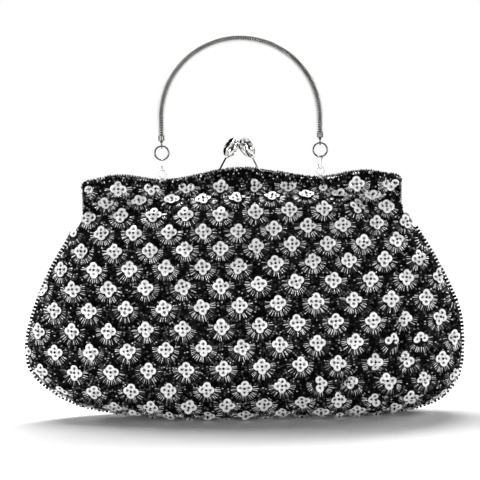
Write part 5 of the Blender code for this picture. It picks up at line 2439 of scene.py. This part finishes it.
@dataclass(frozen=True)
class Lamp:
    """A soft lamp in a flat box: its place, its width and height, and its power in watts."""

    name: str
    place: Colour
    width: float
    height: float
    power: float

    def build(self, aim: Colour) -> None:
        """Sets the lamp up.

        Args:
            aim: What it points at.
        """
        data = bpy.data.lights.new(self.name, "AREA")
        data.shape = "RECTANGLE"
        data.size, data.size_y = self.width, self.height
        data.energy = self.power
        made = linked(self.name, data)
        made.location = self.place
        made.rotation_euler = (Vector(aim) - Vector(self.place)).to_track_quat("-Z", "Y").to_euler()


@dataclass
class Studio:
    """A white floor that keeps the shadow, a pale tent with a dark gap for the metal, and five soft lamps."""

    floor_radius: float = 1.2
    floor_fade: float = 0.75
    floor_fade_share: float = 0.55
    floor_colour: Colour = (0.80, 0.80, 0.80)
    world_light: float = 0.13
    white: Colour = (1.0, 1.0, 1.0)
    gap_colour: Colour = (0.03, 0.03, 0.03)
    aim: Colour = (0.0, 0.0, 0.10)
    lamps: tuple[Lamp, ...] = (
        Lamp("back_lamp", (-0.12, 0.35, 0.95), 1.30, 0.24, 17.5),
        Lamp("left_side_lamp", (-0.95, 0.35, 0.55), 0.50, 0.30, 4.0),
        Lamp("right_side_lamp", (0.95, 0.35, 0.55), 0.50, 0.30, 5.0),
        Lamp("left_lamp", (-0.80, -1.15, 0.14), 0.40, 0.26, 7.0),
        Lamp("right_lamp", (0.85, -1.10, 0.14), 0.40, 0.26, 5.0),
    )

    def floor(self) -> None:
        """A round floor that fades into the white background."""
        bm = bmesh.new()
        bmesh.ops.create_circle(bm, cap_ends=True, segments=96, radius=self.floor_radius)
        made = linked("studio_floor", as_mesh("studio_floor", bm))
        material = bpy.data.materials.new("studio_floor")
        material.use_nodes = True
        graph = Graph(material.node_tree)
        length = graph.wire("ShaderNodeVectorMath", {"operation": "LENGTH"}, {0: graph.place()}, "Value")
        lit = graph.wire("ShaderNodeBsdfDiffuse", None, {"Color": self.floor_colour})
        clear = graph.wire("ShaderNodeBsdfTransparent")
        fade = length.step(self.floor_fade * self.floor_fade_share, self.floor_fade)
        out = graph.wire("ShaderNodeMixShader", None, {0: fade, 1: lit, 2: clear})
        graph.node("ShaderNodeOutputMaterial", None, {"Surface": out})
        made.data.materials.append(material)

    def world(self) -> None:
        """White to the camera, an even grey light, and a tent with dark gaps in what is glossy."""
        world = bpy.data.worlds.new("studio")
        bpy.context.scene.world = world
        world.use_nodes = True
        graph = Graph(world.node_tree)
        _, depth, height = graph.parts(graph.wire("ShaderNodeTexCoord", output="Generated"))
        gap = abs(depth).step(0.20, 0.60) * (1 - height.step(0.30, 0.65))
        tent = graph.mix(gap, self.white, self.gap_colour)
        path = graph.node("ShaderNodeLightPath")
        rays = ("Is Camera Ray", "Is Glossy Ray", "Is Transmission Ray")
        camera, shine, through = (Wire(graph, path.outputs[name]) for name in rays)
        even, shiny, white = (
            graph.wire("ShaderNodeBackground", None, {"Color": colour, "Strength": strength})
            for colour, strength in ((self.white, self.world_light), (tent, 1.0), (self.white, 1.0))
        )
        some = graph.wire("ShaderNodeMixShader", None, {0: shine.at_least(through), 1: even, 2: shiny})
        out = graph.wire("ShaderNodeMixShader", None, {0: camera, 1: some, 2: white})
        graph.node("ShaderNodeOutputWorld", None, {"Surface": out})

    def build(self) -> None:
        """Sets up floor, tent and lamps."""
        self.floor()
        self.world()
        for lamp in self.lamps:
            lamp.build(self.aim)


@dataclass
class PhotoCamera:
    """The camera at the photograph's angle, rolled as the picture is."""

    aim: Colour = (-0.0018, 0.0, 0.1133)
    distance: float = 1.30
    elevation: float = math.radians(6.5)
    roll: float = math.radians(1.2)
    view_width: float = 0.305
    sensor: float = 36.0

    def build(self) -> None:
        """Makes the camera and sets it as the scene's."""
        data = bpy.data.cameras.new("photo_camera")
        data.sensor_width = self.sensor
        data.lens = self.sensor * self.distance / self.view_width
        data.clip_start, data.clip_end = 0.01, 20.0
        made = linked("photo_camera", data)
        back = Vector((0.0, -math.cos(self.elevation), math.sin(self.elevation)))
        turn = (-back).to_track_quat("-Z", "Y").to_matrix().to_4x4() @ Matrix.Rotation(-self.roll, 4, "Z")
        made.matrix_world = Matrix.Translation(Vector(self.aim) + back * self.distance) @ turn
        bpy.context.scene.camera = made


FRONT_FOLDS = (
    Fold((0.056, 0.012), (0.067, 0.027), 0.0048, 0.0046),
    Fold((0.066, 0.026), (0.092, 0.029), 0.0050, 0.0060),
    Fold((0.100, 0.030), (0.100, 0.070), 0.0046, 0.0050),
)
# The left knob's first strip is near black: painted shade along its stem.
LEFT_STRIPS = (Strip(-0.00060, 0.0010, SHADE_PLATE), Strip(0.00080, 0.0005, PLATE))
# The right knob's strip is darkened plate: painted shade.
RIGHT_STRIPS = (Strip(0.0, 0.0009, SHADED_STRIP_PLATE),)
LEFT_BEND_X = 0.0130
REAR_NOISE_SEED = 3.7


def main() -> None:
    """Builds every sub-assembly in order and reports its pieces."""
    logging.basicConfig(level=logging.INFO, format="%(name)s: %(message)s")
    bpy.context.scene.view_settings.view_transform = "Standard"
    PhotoCamera().build()
    Studio().build()
    front = Skin(Half.FRONT, folds=FRONT_FOLDS)
    rear = Skin(Half.REAR, noise_seed=REAR_NOISE_SEED)
    assemblies = [Panels(front), Panels(rear), SlipPocket(rear)]
    assemblies += [Beadwork(front), Beadwork(rear), SeamEdging(front)]
    assemblies += [FrameBow(Half.FRONT), FrameBow(Half.REAR, REAR_BOW_HALF_WIDTH)]
    assemblies += [HingeRivet(hand) for hand in Hand]
    assemblies += [RosebudKnob(Half.FRONT, Hand.LEFT, LEFT_STRIPS, LEFT_BEND_X)]
    assemblies += [RosebudKnob(Half.REAR, Hand.RIGHT, RIGHT_STRIPS)]
    sides = [HandleSide(hand) for hand in Hand]
    assemblies += [*sides, SnakeChain(sides[0]), PaperCords()]
    for assembly in assemblies:
        for made in assembly.build():
            log.info("%s: %d faces", made.name, len(made.data.polygons))


if __name__ == "__main__":
    main()
